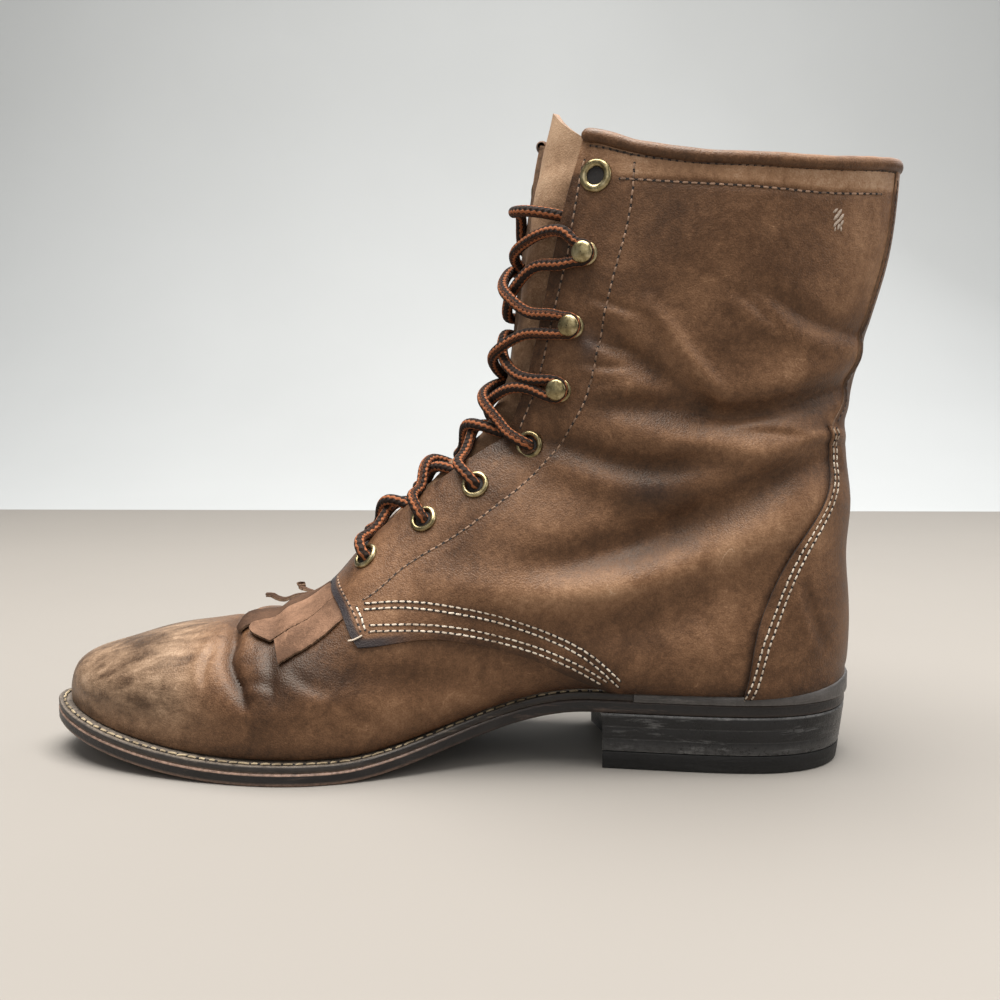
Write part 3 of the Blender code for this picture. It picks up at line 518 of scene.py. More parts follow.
FOLDS = [
    # Across the ankle, where the shaft bends over the foot
    Fold(BOTH, SIDE_VIEW, 4.8, 4.4, 0.8, ANKLE),
    Fold(BOTH, SIDE_VIEW, 4.4, 3.2, 0.0, UNDER_ANKLE),
    Fold(BOTH, SIDE_VIEW, 6.0, 4.4, 0.0, INSTEP),
    Fold(BOTH, SIDE_VIEW, 5.0, -2.4, 0.0, ANKLE_RIDGE),
    Fold(BOTH, SIDE_VIEW, 7.0, -3.2, 0.0, INSTEP_RIDGE),
    Fold(BOTH, SIDE_VIEW, 5.0, -1.2, 0.0, HEEL_RIDGE),
    Fold(BOTH, SIDE_VIEW, 1.3, 0.7, 0.4, [(60, 127), (48, 126), (36, 128), (24, 130)]),
    Fold(BOTH, SIDE_VIEW, 1.4, 0.6, 0.4, [(22, 119), (34, 121), (48, 121)]),
    Fold(BOTH, SIDE_VIEW, 1.6, 0.8, 0.5, [(4, 116), (16, 117), (28, 115)]),
    Fold(OUTER, SIDE_VIEW, 8.0, 2.0, 0.8, [(30, 100), (60, 106), (90, 102), (108, 92)]),
    # Down the shaft
    Fold(INNER, SIDE_VIEW, 2.8, -2.2, 0.0, SHAFT_RIDGE),
    Fold(INNER, SIDE_VIEW, 4.2, 3.2, 0.0, [(101, 160), (94, 155), (81, 145.5), (69, 137.6), (54, 131)]),
    Fold(INNER, SIDE_VIEW, 3.2, -1.0, 0.0, [(103, 136), (94.8, 134.4), (83, 136), (70, 133)]),
    Fold(INNER, SIDE_VIEW, 3.4, 1.5, 0.8, SHAFT_BACK),
    Fold(INNER, SIDE_VIEW, 1.8, 0.8, 0.6, [(51, 171), (41, 163), (33, 156)]),
    Fold(INNER, SIDE_VIEW, 1.6, 0.5, 0.4, [(44, 176), (41, 163), (43, 150)]),
    Fold(OUTER, SIDE_VIEW, 6.0, 1.6, 1.2, [(30, 175), (40, 160), (55, 148), (70, 138)]),
    Fold(OUTER, SIDE_VIEW, 2.0, 0.7, 0.5, [(60, 178), (72, 168), (80, 155)]),
    Fold(INNER, SIDE_VIEW, 1.5, 0.7, 0.5, [(99, 168), (90, 165), (80, 161)]),
    Fold(INNER, SIDE_VIEW, 1.5, 0.7, 0.5, [(101, 155), (92, 151), (83, 149)]),
    Fold(INNER, SIDE_VIEW, 1.5, 0.6, 0.4, [(103, 146), (94, 144), (84, 144)]),
    # Low on the quarter and at the heel
    Fold(BOTH, SIDE_VIEW, 8.0, 1.6, 0.6, [(120, 54), (95, 52), (68, 58), (46, 72)]),
    Fold(BOTH, SIDE_VIEW, 2.0, 0.7, 0.5, [(60, 60), (54, 48), (52, 38)]),
    Fold(BOTH, SIDE_VIEW, 2.2, 0.8, 0.5, [(24, 70), (20, 56), (14, 44)]),
    # Over the ball, under the fringe
    Fold(BOTH, SIDE_VIEW, 2.0, 2.4, 0.22, BALL),
    Fold(BOTH, SIDE_VIEW, 4.6, 1.2, 0.45, BALL),
    Fold(BOTH, SIDE_VIEW, 2.2, 0.7, 0.3, [(213, 47), (210, 41), (208, 33), (207, 27)]),
    Fold(BOTH, SIDE_VIEW, 1.6, 0.8, 0.5, [(232, 44), (234, 38), (232, 31)]),
    Fold(BOTH, SIDE_VIEW, 1.6, 0.8, 0.5, [(221, 34), (214, 35), (206, 33)]),
    Fold(BOTH, SIDE_VIEW, 2.0, 0.8, 0.6, [(203, 40), (196, 35), (186, 32)]),
    Fold(BOTH, TOP_VIEW, 3.0, 2.2, 1.3, [(219, -34), (226, -16), (228, 0), (227, 18), (224, 34)]),
    Fold(BOTH, TOP_VIEW, 1.7, 1.2, 0.6, [(221, -30), (227, -14), (229, 0), (228, 18), (225, 32)]),
    Fold(BOTH, TOP_VIEW, 3.0, 1.0, 0.8, [(207, -38), (212, -20), (213, 0), (212, 20), (207, 38)]),
    Fold(BOTH, SIDE_VIEW, 6.0, 1.2, 0.6, [(200, 40), (176, 37), (156, 35), (134, 33)]),
]
# Rows of stitches draw the leather in
SEWN_ROWS = (UPPER_PAIR, LOWER_PAIR, FACING_ROW, COLLAR_ROW)
FOLDS += [Fold(BOTH, SIDE_VIEW, 1.5, 0.4, 0.0, row) for row in SEWN_ROWS]

# Soft spots of a side: paler or darker leather (partly stains, partly painted highlight and painted shade
# over the folds), dark bluish dye, and lumps in millimetres
Spread = namedtuple("Spread", "sides s z spread_s spread_z amount")
STAINS_AND_PAINTED_LIGHT = [
    Spread(INNER, 77, 100.5, 13, 4.5, -0.30),
    Spread(INNER, 92, 107, 10, 5, -0.12),
    Spread(BOTH, 60, 186, 24, 16, -0.03),
    Spread(INNER, 96, 184, 6, 24, -0.14),
    Spread(INNER, 100, 150, 7, 14, -0.12),
    Spread(BOTH, 12, 196, 16, 14, 0.06),
    Spread(BOTH, 168, 74, 13, 8, 0.14),
    Spread(INNER, 150, 66, 18, 7, 0.05),
    Spread(INNER, 108, 66, 26, 7, 0.14),
    Spread(INNER, 40, 92, 24, 8, 0.10),
    Spread(BOTH, 88, 40, 22, 9, -0.12),
    Spread(BOTH, 16, 88, 9, 16, 0.34),
    Spread(BOTH, 20, 50, 12, 12, -0.14),
    Spread(BOTH, 196, 38, 20, 8, -0.20),
    Spread(BOTH, 226, 36, 5, 8, -0.04),
    Spread(BOTH, 160, 36, 24, 7, -0.12),
    Spread(INNER, 64, 148, 8, 10, 0.10),
    Spread(BOTH, -2, 176, 18, 32, 0.22),
    Spread(BOTH, 194, 50, 12, 7, -0.14),
    Spread(INNER, 78, 190, 12, 16, -0.04),
    Spread(BOTH, 30, 118, 22, 6, 0.16),
    Spread(BOTH, 204, 36, 20, 14, -0.34),
    Spread(BOTH, 26, 56, 14, 16, -0.10),
    Spread(INNER, 20, 145, 20, 12, 0.14),
]
DYES = [Spread(INNER, 99, 151, 3.0, 5.0, 0.75), Spread(INNER, 76, 100, 9, 3.4, 0.30)]
LUMPS = [
    Spread(BOTH, 60, 185, 26, 22, 0.7),
    Spread(BOTH, 20, 185, 18, 25, -0.8),
    Spread(BOTH, 70, 92, 22, 12, -1.2),
    Spread(BOTH, 96, 66, 30, 9, 1.0),
    Spread(BOTH, 118, 88, 16, 9, 0.8),
    Spread(BOTH, 26, 60, 14, 20, 0.6),
]
RIDGE_CLEAR = 3.2  # creases of one side end this far from the middle, so both sides meet
FOLD_STEPS = 24  # points along a crease


def amounts_of(spreads, side, points):
    """The amount of each soft spot of a side, at points."""
    for spread in spreads:
        if side in spread.sides:
            off_s = (points[:, 0] - spread.s) / spread.spread_s
            off_z = (points[:, 2] - spread.z) / spread.spread_z
            yield spread.amount * np.exp(-(off_s**2 + off_z**2))


def line_distance(path, points):
    """Distance of points in a plane from a path, the side they lie on, and the share of the path passed."""
    start, run = path[:-1], np.diff(path, axis=0)
    away = points[:, None, :] - start[None]
    share = np.clip((away * run).sum(axis=2) / (run**2).sum(axis=1), 0, 1)
    rest = away - share[..., None] * run
    square = (rest**2).sum(axis=2)
    best = square.argmin(axis=1)
    k = np.arange(len(points))
    turn = cross(run[best], rest[k, best])
    return np.sqrt(square[k, best]), np.sign(turn), (best + share[k, best]) / len(run)


def relief(side, points):
    """How far the worn leather stands off the smooth surface, in millimetres."""
    flat = points.reshape(-1, 3)
    total = np.zeros(len(flat))
    out = flat[:, 1] * side
    for fold in FOLDS:
        if side not in fold.sides:
            continue
        path = smooth_path(fold.points, FOLD_STEPS)
        plane, reach = flat[:, fold.view], 4 * fold.width
        near = np.all((plane > path.min(axis=0) - reach) & (plane < path.max(axis=0) + reach), axis=1)
        if fold.view == SIDE_VIEW:
            near &= out > RIDGE_CLEAR
        if not near.any():
            continue
        distance, turn, share = line_distance(path, plane[near])
        fade = np.sin(np.pi * np.clip(share, 0, 1)) ** 0.7
        if fold.view == SIDE_VIEW:
            fade = fade * smoothstep((out[near] - RIDGE_CLEAR) / 8)
        trough = np.exp(-((distance / fold.width) ** 2))
        crest = np.exp(-(((distance * turn - 1.9 * fold.width) / (1.3 * fold.width)) ** 2))
        total[near] += fade * (fold.lip * crest - fold.depth * trough)
    for lump in amounts_of(LUMPS, side, flat):
        total += lump * smoothstep((out - 4) / 10)
    s, y, z = flat.T
    total += 0.25 * np.sin(s * 0.09 + z * 0.05) * np.sin(z * 0.11 - y * 0.07 + 1.3)
    near_sole = smoothstep((z - seam_level(s) - 1) / 9)
    return (total * near_sole).reshape(points.shape[:-1])


def leather(side, u, q, lift=0.0):
    """Points of the worn leather, at a lift above the smooth surface, and how far the wear moved them."""
    points, normals = skin(side, u, q)
    worn = relief(side, points)
    return points + normals * (worn + lift)[..., None], worn


def quarter_lift(u):
    """How far the quarters stand off the smooth surface: one layer over the vamp, none up the shaft."""
    return QUARTER_STEP * (1 - smoothstep((np.asarray(u, float) - 11) / 4))


_collar_level = row_spline(COLLAR_LINE, "s", "z")


def collar_shift(side, q):
    """How far along u the top edge lies from the last section of the shaft."""
    reach = 0.2
    point = skin(side, COLLAR_U, q)[0]
    rise = (skin(side, COLLAR_U + reach, q)[0] - skin(side, COLLAR_U - reach, q)[0])[..., 2] / (2 * reach)
    return (_collar_level(point[..., 0]) - point[..., 2]) / rise


def below_collar(side, u, q):
    """Places near the top moved along with the collar's line."""
    return u + collar_shift(side, q) * smoothstep((u - 18.5) / (COLLAR_U - 18.5))


# Meshes

def world(points):
    return (np.asarray(points, float).reshape(-1, 3) - (ORIGIN_S, ORIGIN_Y, 0)) * MM


def grid_quads(rows, columns):
    a = (np.arange(rows - 1)[:, None] * columns + np.arange(columns - 1)).ravel()
    return np.stack([a, a + 1, a + columns + 1, a + columns], axis=1)


def ring_quads(ids):
    """Faces between neighbouring rows of points, each row closed into a ring."""
    right = np.roll(ids, -1, axis=1)
    return np.stack([ids[:-1], right[:-1], right[1:], ids[1:]], axis=-1).reshape(-1, 4)


SHARP_ANGLE = math.radians(42)


def build(name, points, quads, materials, slots=None, values=None, merge=0.0):
    """An object from points in the boot's own measure and quads; a repeated corner makes a triangle."""
    mesh = bpy.data.meshes.new(name)
    places = world(points)
    mesh.vertices.add(len(places))
    mesh.vertices.foreach_set("co", places.ravel())
    quads = np.asarray(quads, np.int32)
    mesh.loops.add(quads.size)
    mesh.loops.foreach_set("vertex_index", quads.ravel())
    mesh.polygons.add(len(quads))
    mesh.polygons.foreach_set("loop_start", np.arange(0, quads.size, 4, dtype=np.int32))
    for material in materials:
        mesh.materials.append(MATERIALS[material])
    if slots is not None:
        mesh.polygons.foreach_set("material_index", np.asarray(slots, np.int32))
    mesh.update(calc_edges=True)
    mesh.validate(clean_customdata=False)
    for key, numbers in (values or {}).items():
        column = mesh.attributes.new(key, "FLOAT", "POINT").data
        column.foreach_set("value", np.asarray(numbers, np.float32).ravel())
    tidy = bmesh.new()
    tidy.from_mesh(mesh)
    if merge:
        bmesh.ops.remove_doubles(tidy, verts=tidy.verts, dist=merge * MM)
    bmesh.ops.recalc_face_normals(tidy, faces=tidy.faces)
    tidy.to_mesh(mesh)
    tidy.free()
    mesh.shade_smooth()
    mesh.set_sharp_from_angle(angle=SHARP_ANGLE)
    made = bpy.data.objects.new(name, mesh)
    bpy.context.scene.collection.objects.link(made)
    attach(made, "root")
    return made


def sheet(outer, inner, open_columns=False):
    """Points and faces of a sheet between two grids of the same size, and the kinds of its faces: 0 outside,
    1 inside, 2 cut edge, 3 edge of the last column."""
    rows, columns = outer.shape[:2]
    size = rows * columns
    top = grid_quads(rows, columns)
    under = top[:, ::-1] + size
    ids = np.arange(size).reshape(rows, columns)
    rims = [ids[:, -1][::-1], ids[0, ::-1], ids[-1]]
    if not open_columns:
        rims.append(ids[:, 0])
    edges = [np.stack([rim[:-1], rim[1:], rim[1:] + size, rim[:-1] + size], axis=1) for rim in rims]
    edges = np.concatenate(edges)
    kinds = np.concatenate([np.zeros(len(top)), np.ones(len(under)), np.full(len(edges), 2)])
    kinds[2 * len(top) : 2 * len(top) + rows - 1] = 3
    points = np.concatenate([outer.reshape(-1, 3), inner.reshape(-1, 3)])
    return points, np.concatenate([top, under, edges]), kinds


def build_sheets(name, sheets, materials, merge=0.0):
    """One object from sheets of (points, faces, kinds, values), with values for the points of one face."""
    points, quads, kinds, values = zip(*sheets)
    columns = {key: np.concatenate([np.tile(v[key].ravel(), 2) for v in values]) for key in values[0]}
    return build(name, *joined(zip(points, quads)), materials, np.concatenate(kinds), columns, merge)


def with_rims(count, rim):
    """Shares from 0 to 1, with one more close to each end for a rounded rim."""
    inside = np.linspace(rim, 1 - rim, count - 2)
    return np.concatenate([[0.0], inside, [1.0]])


def tube(path, radius, sides):
    """Points, quads and (along, around) of a round rod along a path."""
    path = np.asarray(path, float)
    along = np.gradient(path, axis=0)
    along /= np.linalg.norm(along, axis=1, keepdims=True)
    normal = np.array([0.0, 0, 1]) if abs(along[0, 2]) < 0.9 else np.array([0.0, 1, 0])
    turns = 2 * np.pi * np.arange(sides) / sides
    rings = []
    radius = np.broadcast_to(radius, len(path))
    for k, point in enumerate(path):
        normal = normal - along[k] * (normal @ along[k])
        normal /= np.linalg.norm(normal)
        side = np.cross(along[k], normal)
        rings.append(point + radius[k] * (np.cos(turns)[:, None] * normal + np.sin(turns)[:, None] * side))
    points = np.concatenate(rings)
    ids = np.arange(len(points)).reshape(len(path), sides)
    right = np.roll(ids, -1, axis=1)
    ends = np.stack([path[0], path[-1]])
    first, last = len(points), len(points) + 1
    caps = [(first, b, a, a) for a, b in zip(ids[0], right[0])]
    caps += [(last, a, b, b) for a, b in zip(ids[-1], right[-1])]
    reach = reach_along(path)
    lengthwise = np.concatenate([np.repeat(reach, sides), [0, reach[-1]]])
    around = np.concatenate([np.tile(np.arange(sides) / sides, len(path)), [0, 0]])
    return np.concatenate([points, ends]), np.concatenate([ring_quads(ids), caps]), lengthwise, around


def joined(parts):
    """Several (points, quads) meshes as one."""
    points, quads, start = [], [], 0
    for part_points, part_quads in parts:
        points.append(part_points)
        quads.append(np.asarray(part_quads) + start)
        start += len(part_points)
    return np.concatenate(points), np.concatenate(quads)


# Materials

class Graph:
    """A material and short ways to add its nodes."""

    def __init__(self, name):
        self.material = bpy.data.materials.new(name)
        self.material.use_nodes = True
        self.nodes, self.links = self.material.node_tree.nodes, self.material.node_tree.links
        self.shader = self.nodes["Principled BSDF"]
        self.place = self.nodes.new("ShaderNodeTexCoord").outputs["Object"]

    def put(self, socket, value):
        if isinstance(value, bpy.types.NodeSocket):
            self.links.new(value, socket)
        else:
            socket.default_value = value

    def set(self, **values):
        for name, value in values.items():
            self.put(self.shader.inputs[name.replace("_", " ")], value)

    def math(self, kind, a, b=0.0, c=0.0, clamp=False):
        node = self.nodes.new("ShaderNodeMath")
        node.operation, node.use_clamp = kind, clamp
        for socket, value in zip(node.inputs, (a, b, c)):
            self.put(socket, value)
        return node.outputs[0]

    def noise(self, scale, detail=3.0, roughness=0.55, distortion=0.0, stretch=None):
        node = self.nodes.new("ShaderNodeTexNoise")
        self.put(node.inputs["Scale"], scale)
        self.put(node.inputs["Detail"], detail)
        self.put(node.inputs["Roughness"], roughness)
        self.put(node.inputs["Distortion"], distortion)
        self.links.new(self.stretched(stretch), node.inputs["Vector"])
        return node.outputs["Fac"]

    def stretched(self, stretch):
        if not stretch:
            return self.place
        node = self.nodes.new("ShaderNodeMapping")
        node.inputs["Scale"].default_value = stretch
        self.links.new(self.place, node.inputs["Vector"])
        return node.outputs[0]

    def cells(self, scale):
        node = self.nodes.new("ShaderNodeTexVoronoi")
        node.inputs["Scale"].default_value = scale
        self.links.new(self.place, node.inputs["Vector"])
        return node.outputs["Distance"]

    def value(self, name):
        node = self.nodes.new("ShaderNodeAttribute")
        node.attribute_name = name
        return node.outputs["Fac"]

    def ramp(self, factor, stops):
        node = self.nodes.new("ShaderNodeValToRGB")
        while len(node.color_ramp.elements) < len(stops):
            node.color_ramp.elements.new(0.5)
        for element, (place, color) in zip(node.color_ramp.elements, stops):
            element.position = place
            element.color = (*color, 1)
        self.put(node.inputs[0], factor)
        return node.outputs[0]

    def mix(self, factor, a, b):
        node = self.nodes.new("ShaderNodeMix")
        node.data_type = "RGBA"
        self.put(node.inputs[0], factor)
        self.put(node.inputs[6], a)
        self.put(node.inputs[7], b)
        return node.outputs[2]

    def weighted(self, start, *terms):
        """start plus each (amount, signal) with the signal taken about a half."""
        total = start
        for amount, signal in terms:
            total = self.math("ADD", total, self.math("MULTIPLY_ADD", signal, amount, -amount / 2))
        return total

    def bump(self, height, strength, distance):
        node = self.nodes.new("ShaderNodeBump")
        node.inputs["Strength"].default_value = strength
        node.inputs["Distance"].default_value = distance
        self.links.new(height, node.inputs["Height"])
        self.links.new(node.outputs[0], self.shader.inputs["Normal"])


LEATHER_TONES = [
    (0.00, (0.012, 0.0052, 0.0024)),
    (0.26, (0.038, 0.0165, 0.0074)),
    (0.45, (0.096, 0.0450, 0.0210)),
    (0.60, (0.168, 0.0840, 0.0415)),
    (0.78, (0.290, 0.1620, 0.0880)),
    (1.00, (0.470, 0.3150, 0.2050)),
]
KILTIE_TONES = [
    (0.00, (0.030, 0.0150, 0.0090)),
    (0.35, (0.098, 0.0520, 0.0310)),
    (0.60, (0.225, 0.1250, 0.0770)),
    (1.00, (0.440, 0.2850, 0.1900)),
]
TONGUE_TONES = [
    (0.00, (0.030, 0.0150, 0.0085)),
    (0.40, (0.150, 0.0830, 0.0460)),
    (0.65, (0.320, 0.2000, 0.1200)),
    (1.00, (0.500, 0.3500, 0.2300)),
]


SCUFF_TONES = [
    (0.00, (0.020, 0.0120, 0.0078)),
    (0.40, (0.082, 0.0510, 0.0310)),
    (0.65, (0.220, 0.1500, 0.0970)),
    (1.00, (0.440, 0.3250, 0.2300)),
]
LINING_TONES = [(0.1, (0.13, 0.08, 0.045)), (0.5, (0.27, 0.175, 0.105)), (0.9, (0.40, 0.28, 0.18))]
EDGE_DYE = (0.020, 0.0195, 0.024, 1)
WARM_GLOSS = (1.0, 0.92, 0.82, 1)


def leather_material(name, tones, nap=0.0):
    """Oiled, worn leather: blotches and scratches round the mesh's own tone, fine grain, waxy gloss."""
    g = Graph(name)
    patch, mottle = g.noise(21, 4, 0.55, 0.4), g.noise(62, 8, 0.68, 0.6)
    fine, speck = g.noise(430, 6, 0.75, 0.3), g.noise(1900, 2, 0.6)
    streak = g.noise(190, 5, 0.6, 0.3, stretch=(0.14, 0.8, 1.0))
    tone = g.math("MULTIPLY_ADD", g.value("tone"), 0.5, 0.5)
    tone = g.weighted(tone, (0.50, patch), (0.56, mottle), (0.44, fine), (0.28, speck))
    swirl = g.math("ABSOLUTE", g.math("SUBTRACT", g.noise(24, 3, 0.5, 1.6), 0.5))
    scratch = g.math("SUBTRACT", 1.0, g.math("MULTIPLY", swirl, 150.0), clamp=True)
    worn = g.math("MULTIPLY", g.math("SUBTRACT", mottle, 0.53, clamp=True), 5.0, clamp=True)
    tone = g.math("MULTIPLY_ADD", g.math("MULTIPLY", scratch, worn), 0.26, tone)
    scuff = g.value("scuff")
    rubbed = g.weighted(0.0, (1.1, streak), (0.2, mottle))
    tone = g.math("MULTIPLY_ADD", scuff, rubbed, tone)
    color = g.mix(g.math("MULTIPLY", scuff, 0.7), g.ramp(tone, tones), g.ramp(tone, SCUFF_TONES))
    g.set(Base_Color=g.mix(g.math("MULTIPLY", g.value("dye"), 0.85), color, EDGE_DYE))
    rough = g.weighted(0.46 + 0.3 * nap, (0.45, mottle), (0.30, fine))
    g.set(Roughness=rough, Specular_IOR_Level=0.30 - 0.16 * nap, Specular_Tint=WARM_GLOSS)
    height = g.math("ADD", g.math("MULTIPLY", g.cells(1500), 0.5), g.math("MULTIPLY", speck, 0.5))
    height = g.math("MULTIPLY_ADD", fine, 0.35, height)
    g.bump(height, 0.38, 0.0006)
    return g.material


def raw_edge_material(name, color, dark):
    g = Graph(name)
    fibre = g.noise(900, 4, 0.7, 0.3, stretch=(1, 1, 0.4))
    g.set(Base_Color=g.ramp(fibre, [(0.3, dark), (0.7, color)]), Roughness=0.8)
    g.bump(fibre, 0.5, 0.0004)
    return g.material


def lining_material():
    g = Graph("lining_leather")
    broad, fine = g.noise(35, 4), g.noise(700, 3, 0.65)
    tone = g.weighted(0.5, (0.6, broad), (0.25, fine))
    g.set(Base_Color=g.ramp(tone, LINING_TONES), Roughness=0.72)
    g.bump(fine, 0.25, 0.0004)
    return g.material


def sole_material(name, base, worn, scraped, gloss):
    """Black edge dressing on leather, rubbed through along its rims and scraped here and there."""
    g = Graph(name)
    broad, fine = g.noise(60, 5, 0.65), g.noise(520, 4, 0.7)
    scrape = g.noise(120, 7, 0.75, 0.4, stretch=(0.3, 0.3, 2.4))
    marks = g.math("MULTIPLY", g.math("SUBTRACT", scrape, 0.55, clamp=True), scraped)
    rub = g.math("MULTIPLY", g.value("wear"), g.math("MULTIPLY_ADD", fine, 2.4, -0.45, clamp=True))
    rub = g.math("ADD", rub, g.math("MULTIPLY", marks, fine), clamp=True)
    dark = g.ramp(broad, [(0.3, tuple(0.6 * c for c in base)), (0.7, tuple(1.6 * c for c in base))])
    g.set(Base_Color=g.mix(rub, dark, (*worn, 1)))
    g.set(Roughness=g.weighted(gloss, (0.35, fine), (0.3, broad)), Specular_IOR_Level=0.36)
    g.bump(g.math("ADD", fine, g.math("MULTIPLY", scrape, 1.5)), 0.45, 0.0006)
    return g.material


def thread_material(name, pale, dirty):
    g = Graph(name)
    broad, twist = g.noise(120, 3), g.noise(1500, 2)
    g.set(Base_Color=g.ramp(broad, [(0.35, dirty), (0.62, pale)]), Roughness=0.75)
    g.bump(twist, 0.4, 0.0003)
    return g.material


def brass_material():
    g = Graph("aged_brass")
    broad, fine = g.noise(260, 5, 0.65), g.noise(1300, 3)
    tones = [(0.30, (0.100, 0.074, 0.034)), (0.52, (0.30, 0.240, 0.125)), (0.75, (0.62, 0.530, 0.34))]
    g.set(Base_Color=g.ramp(broad, tones))
    g.set(Metallic=1.0, Roughness=g.weighted(0.30, (0.35, broad), (0.15, fine)))
    g.bump(fine, 0.15, 0.0002)
    return g.material


def lace_material():
    """Braided cord: dark, with rust stripes along it whose edges are toothed by the braid."""
    g = Graph("braided_lace")
    along, around = g.value("along"), g.value("around")
    strands = g.math("PINGPONG", g.math("MULTIPLY_ADD", along, 0.95, g.math("MULTIPLY", around, 8.0)), 1.0)
    weave = g.math("PINGPONG", g.math("MULTIPLY_ADD", along, 0.95, g.math("MULTIPLY", around, -8.0)), 1.0)
    place = g.math("PINGPONG", g.math("MULTIPLY", around, 4.0), 0.5)
    place = g.math("MULTIPLY_ADD", g.math("SUBTRACT", strands, 0.5), 0.18, place)
    stripe = g.ramp(place, [(0.31, (0.016, 0.0100, 0.0080)), (0.36, (0.30, 0.100, 0.038))])
    lint = g.noise(900, 3)
    g.set(Base_Color=g.mix(g.math("MULTIPLY", lint, 0.14), stripe, (0.12, 0.075, 0.05, 1)), Roughness=0.85)
    g.set(Specular_IOR_Level=0.2)
    g.bump(g.math("ADD", g.math("MULTIPLY", strands, weave), g.math("MULTIPLY", lint, 0.4)), 0.9, 0.0007)
    return g.material


def floor_material(name, pale):
    g = Graph(name)
    cloud = g.noise(2.5, 4)
    g.set(Base_Color=g.ramp(cloud, [(0.3, tuple(0.96 * c for c in pale)), (0.7, pale)]), Roughness=0.7)
    g.set(Specular_IOR_Level=0.2)
    return g.material


MATERIALS = {
    "leather": leather_material("worn_leather", LEATHER_TONES),
    "kiltie": leather_material("kiltie_suede", KILTIE_TONES, 1.0),
    "tongue": leather_material("tongue_leather", TONGUE_TONES, 0.6),
    "edge": raw_edge_material("dark_cut_edge", (0.050, 0.032, 0.024), (0.014, 0.010, 0.009)),
    "facing_edge": raw_edge_material("brown_cut_edge", (0.200, 0.118, 0.066), (0.060, 0.032, 0.018)),
    "pale_edge": raw_edge_material("pale_cut_edge", (0.340, 0.220, 0.140), (0.110, 0.060, 0.035)),
    "lining": lining_material(),
    "sole": sole_material("sole_edge_black", (0.0120, 0.0100, 0.0095), (0.36, 0.23, 0.17), 2.6, 0.38),
    "welt": sole_material("welt_black", (0.0170, 0.0140, 0.0130), (0.36, 0.29, 0.225), 4.0, 0.46),
    "rand": sole_material("rand_black", (0.0460, 0.0410, 0.0390), (0.30, 0.275, 0.25), 5.5, 0.40),
    "heel": sole_material("heel_stack_black", (0.0090, 0.0088, 0.0093), (0.30, 0.295, 0.29), 5.6, 0.32),
    "rubber": sole_material("rubber_lift_black", (0.0055, 0.0052, 0.0052), (0.08, 0.08, 0.08), 1.2, 0.60),
    "thread": thread_material("pale_thread", (0.66, 0.57, 0.46), (0.34, 0.26, 0.19)),
    "tan_thread": thread_material("tan_thread", (0.34, 0.21, 0.135), (0.15, 0.088, 0.052)),
    "dark_thread": thread_material("dark_thread", (0.13, 0.075, 0.045), (0.04, 0.022, 0.014)),
    "welt_thread": thread_material("welt_thread", (0.48, 0.38, 0.24), (0.16, 0.115, 0.065)),
    "pale_mark": raw_edge_material("pale_scrape", (0.50, 0.41, 0.33), (0.26, 0.19, 0.14)),
    # near-black discs in needle holes and eyelet holes: painted shade
    "hole": raw_edge_material("painted_hole_shade", (0.012, 0.008, 0.006), (0.004, 0.003, 0.003)),
    "brass": brass_material(),
    "lace": lace_material(),
}


# paler crests and darker troughs are partly wear, partly painted highlight on the crests and painted shade in
# the troughs
WEAR_AND_PAINTED_LIGHT_TONE = 0.085  # how much paler a crest is for each millimetre, and darker a trough
DARKER_ABOVE_SOLE = 0.34  # how much darker the leather is just above the sole
# painted shade at the bottom of the crease over the ball
BALL_CREASE_SHADE = 0.55  # how much darker the bottom of the crease over the ball is
BALL_CREASE_SHADE_WIDTH = 1.1
COLLAR_BAND_TONE = 0.56  # how much paler the leather is above the row of stitches at the collar
_collar_row = row_spline(COLLAR_ROW, "s", "z")


def tones_on(side, points, worn, extra=0.0):
    """The tone that a leather mesh carries: pale on crests and dark in troughs (partly wear, partly painted
    highlight and painted shade), stains with some painted highlight and shade, painted shade in the crease
    over the ball, and darker by the sole.
    """
    flat = points.reshape(-1, 3)
    s, y, z = flat.T
    # Crests paler and troughs darker: partly wear, partly painted highlight and painted shade
    tone = WEAR_AND_PAINTED_LIGHT_TONE * np.clip(worn.ravel(), -2.2, 4)
    # stains, with painted highlight and painted shade on some folds
    for amount in amounts_of(STAINS_AND_PAINTED_LIGHT, side, flat):
        tone += amount
    tone += COLLAR_BAND_TONE * smoothstep((z - _collar_row(s)) / 2.5)
    tone -= DARKER_ABOVE_SOLE * (1 - smoothstep((z - seam_level(s)) / 7))
    # Painted shade along the bottom of the crease over the ball
    from_ball, _, along = line_distance(smooth_path(BALL, FOLD_STEPS), flat[:, SIDE_VIEW])
    crease_shade = BALL_CREASE_SHADE * np.exp(-((from_ball / BALL_CREASE_SHADE_WIDTH) ** 2)) * np.sin(np.pi * along) ** 0.5
    tone -= crease_shade * (y * side > RIDGE_CLEAR)
    return tone + extra


def scuffs_on(points):
    """How scuffed the leather is: most on the toe, above the welt."""
    s, _, z = points.reshape(-1, 3).T
    return smoothstep((s - 222) / 30) * (0.35 + 0.65 * smoothstep((z - 12) / 18))


def toe_tones(points):
    """How much paler the toe is: least on top, where the light falls."""
    s, _, z = points.reshape(-1, 3).T
    return smoothstep((s - 212) / 32) * (-0.03 + 0.20 * (1 - smoothstep((z - 33) / 10)))


# Panels of the upper

VAMP_END_U = 12.8
VAMP_UNDERLAP = 9.0  # how far the vamp reaches under the quarters
MM_PER_Q = 55.0  # rough length of leather for one step of q


def quarter_edge(side):
    """Places (u, q) down the quarter's front edge and back along its lower edge."""
    front, low = spots_on(side, QUARTER_FRONT, 90), spots_on(side, QUARTER_LOW, 220)
    return tuple(np.concatenate([a, b[1:]]) for a, b in zip(front, low))


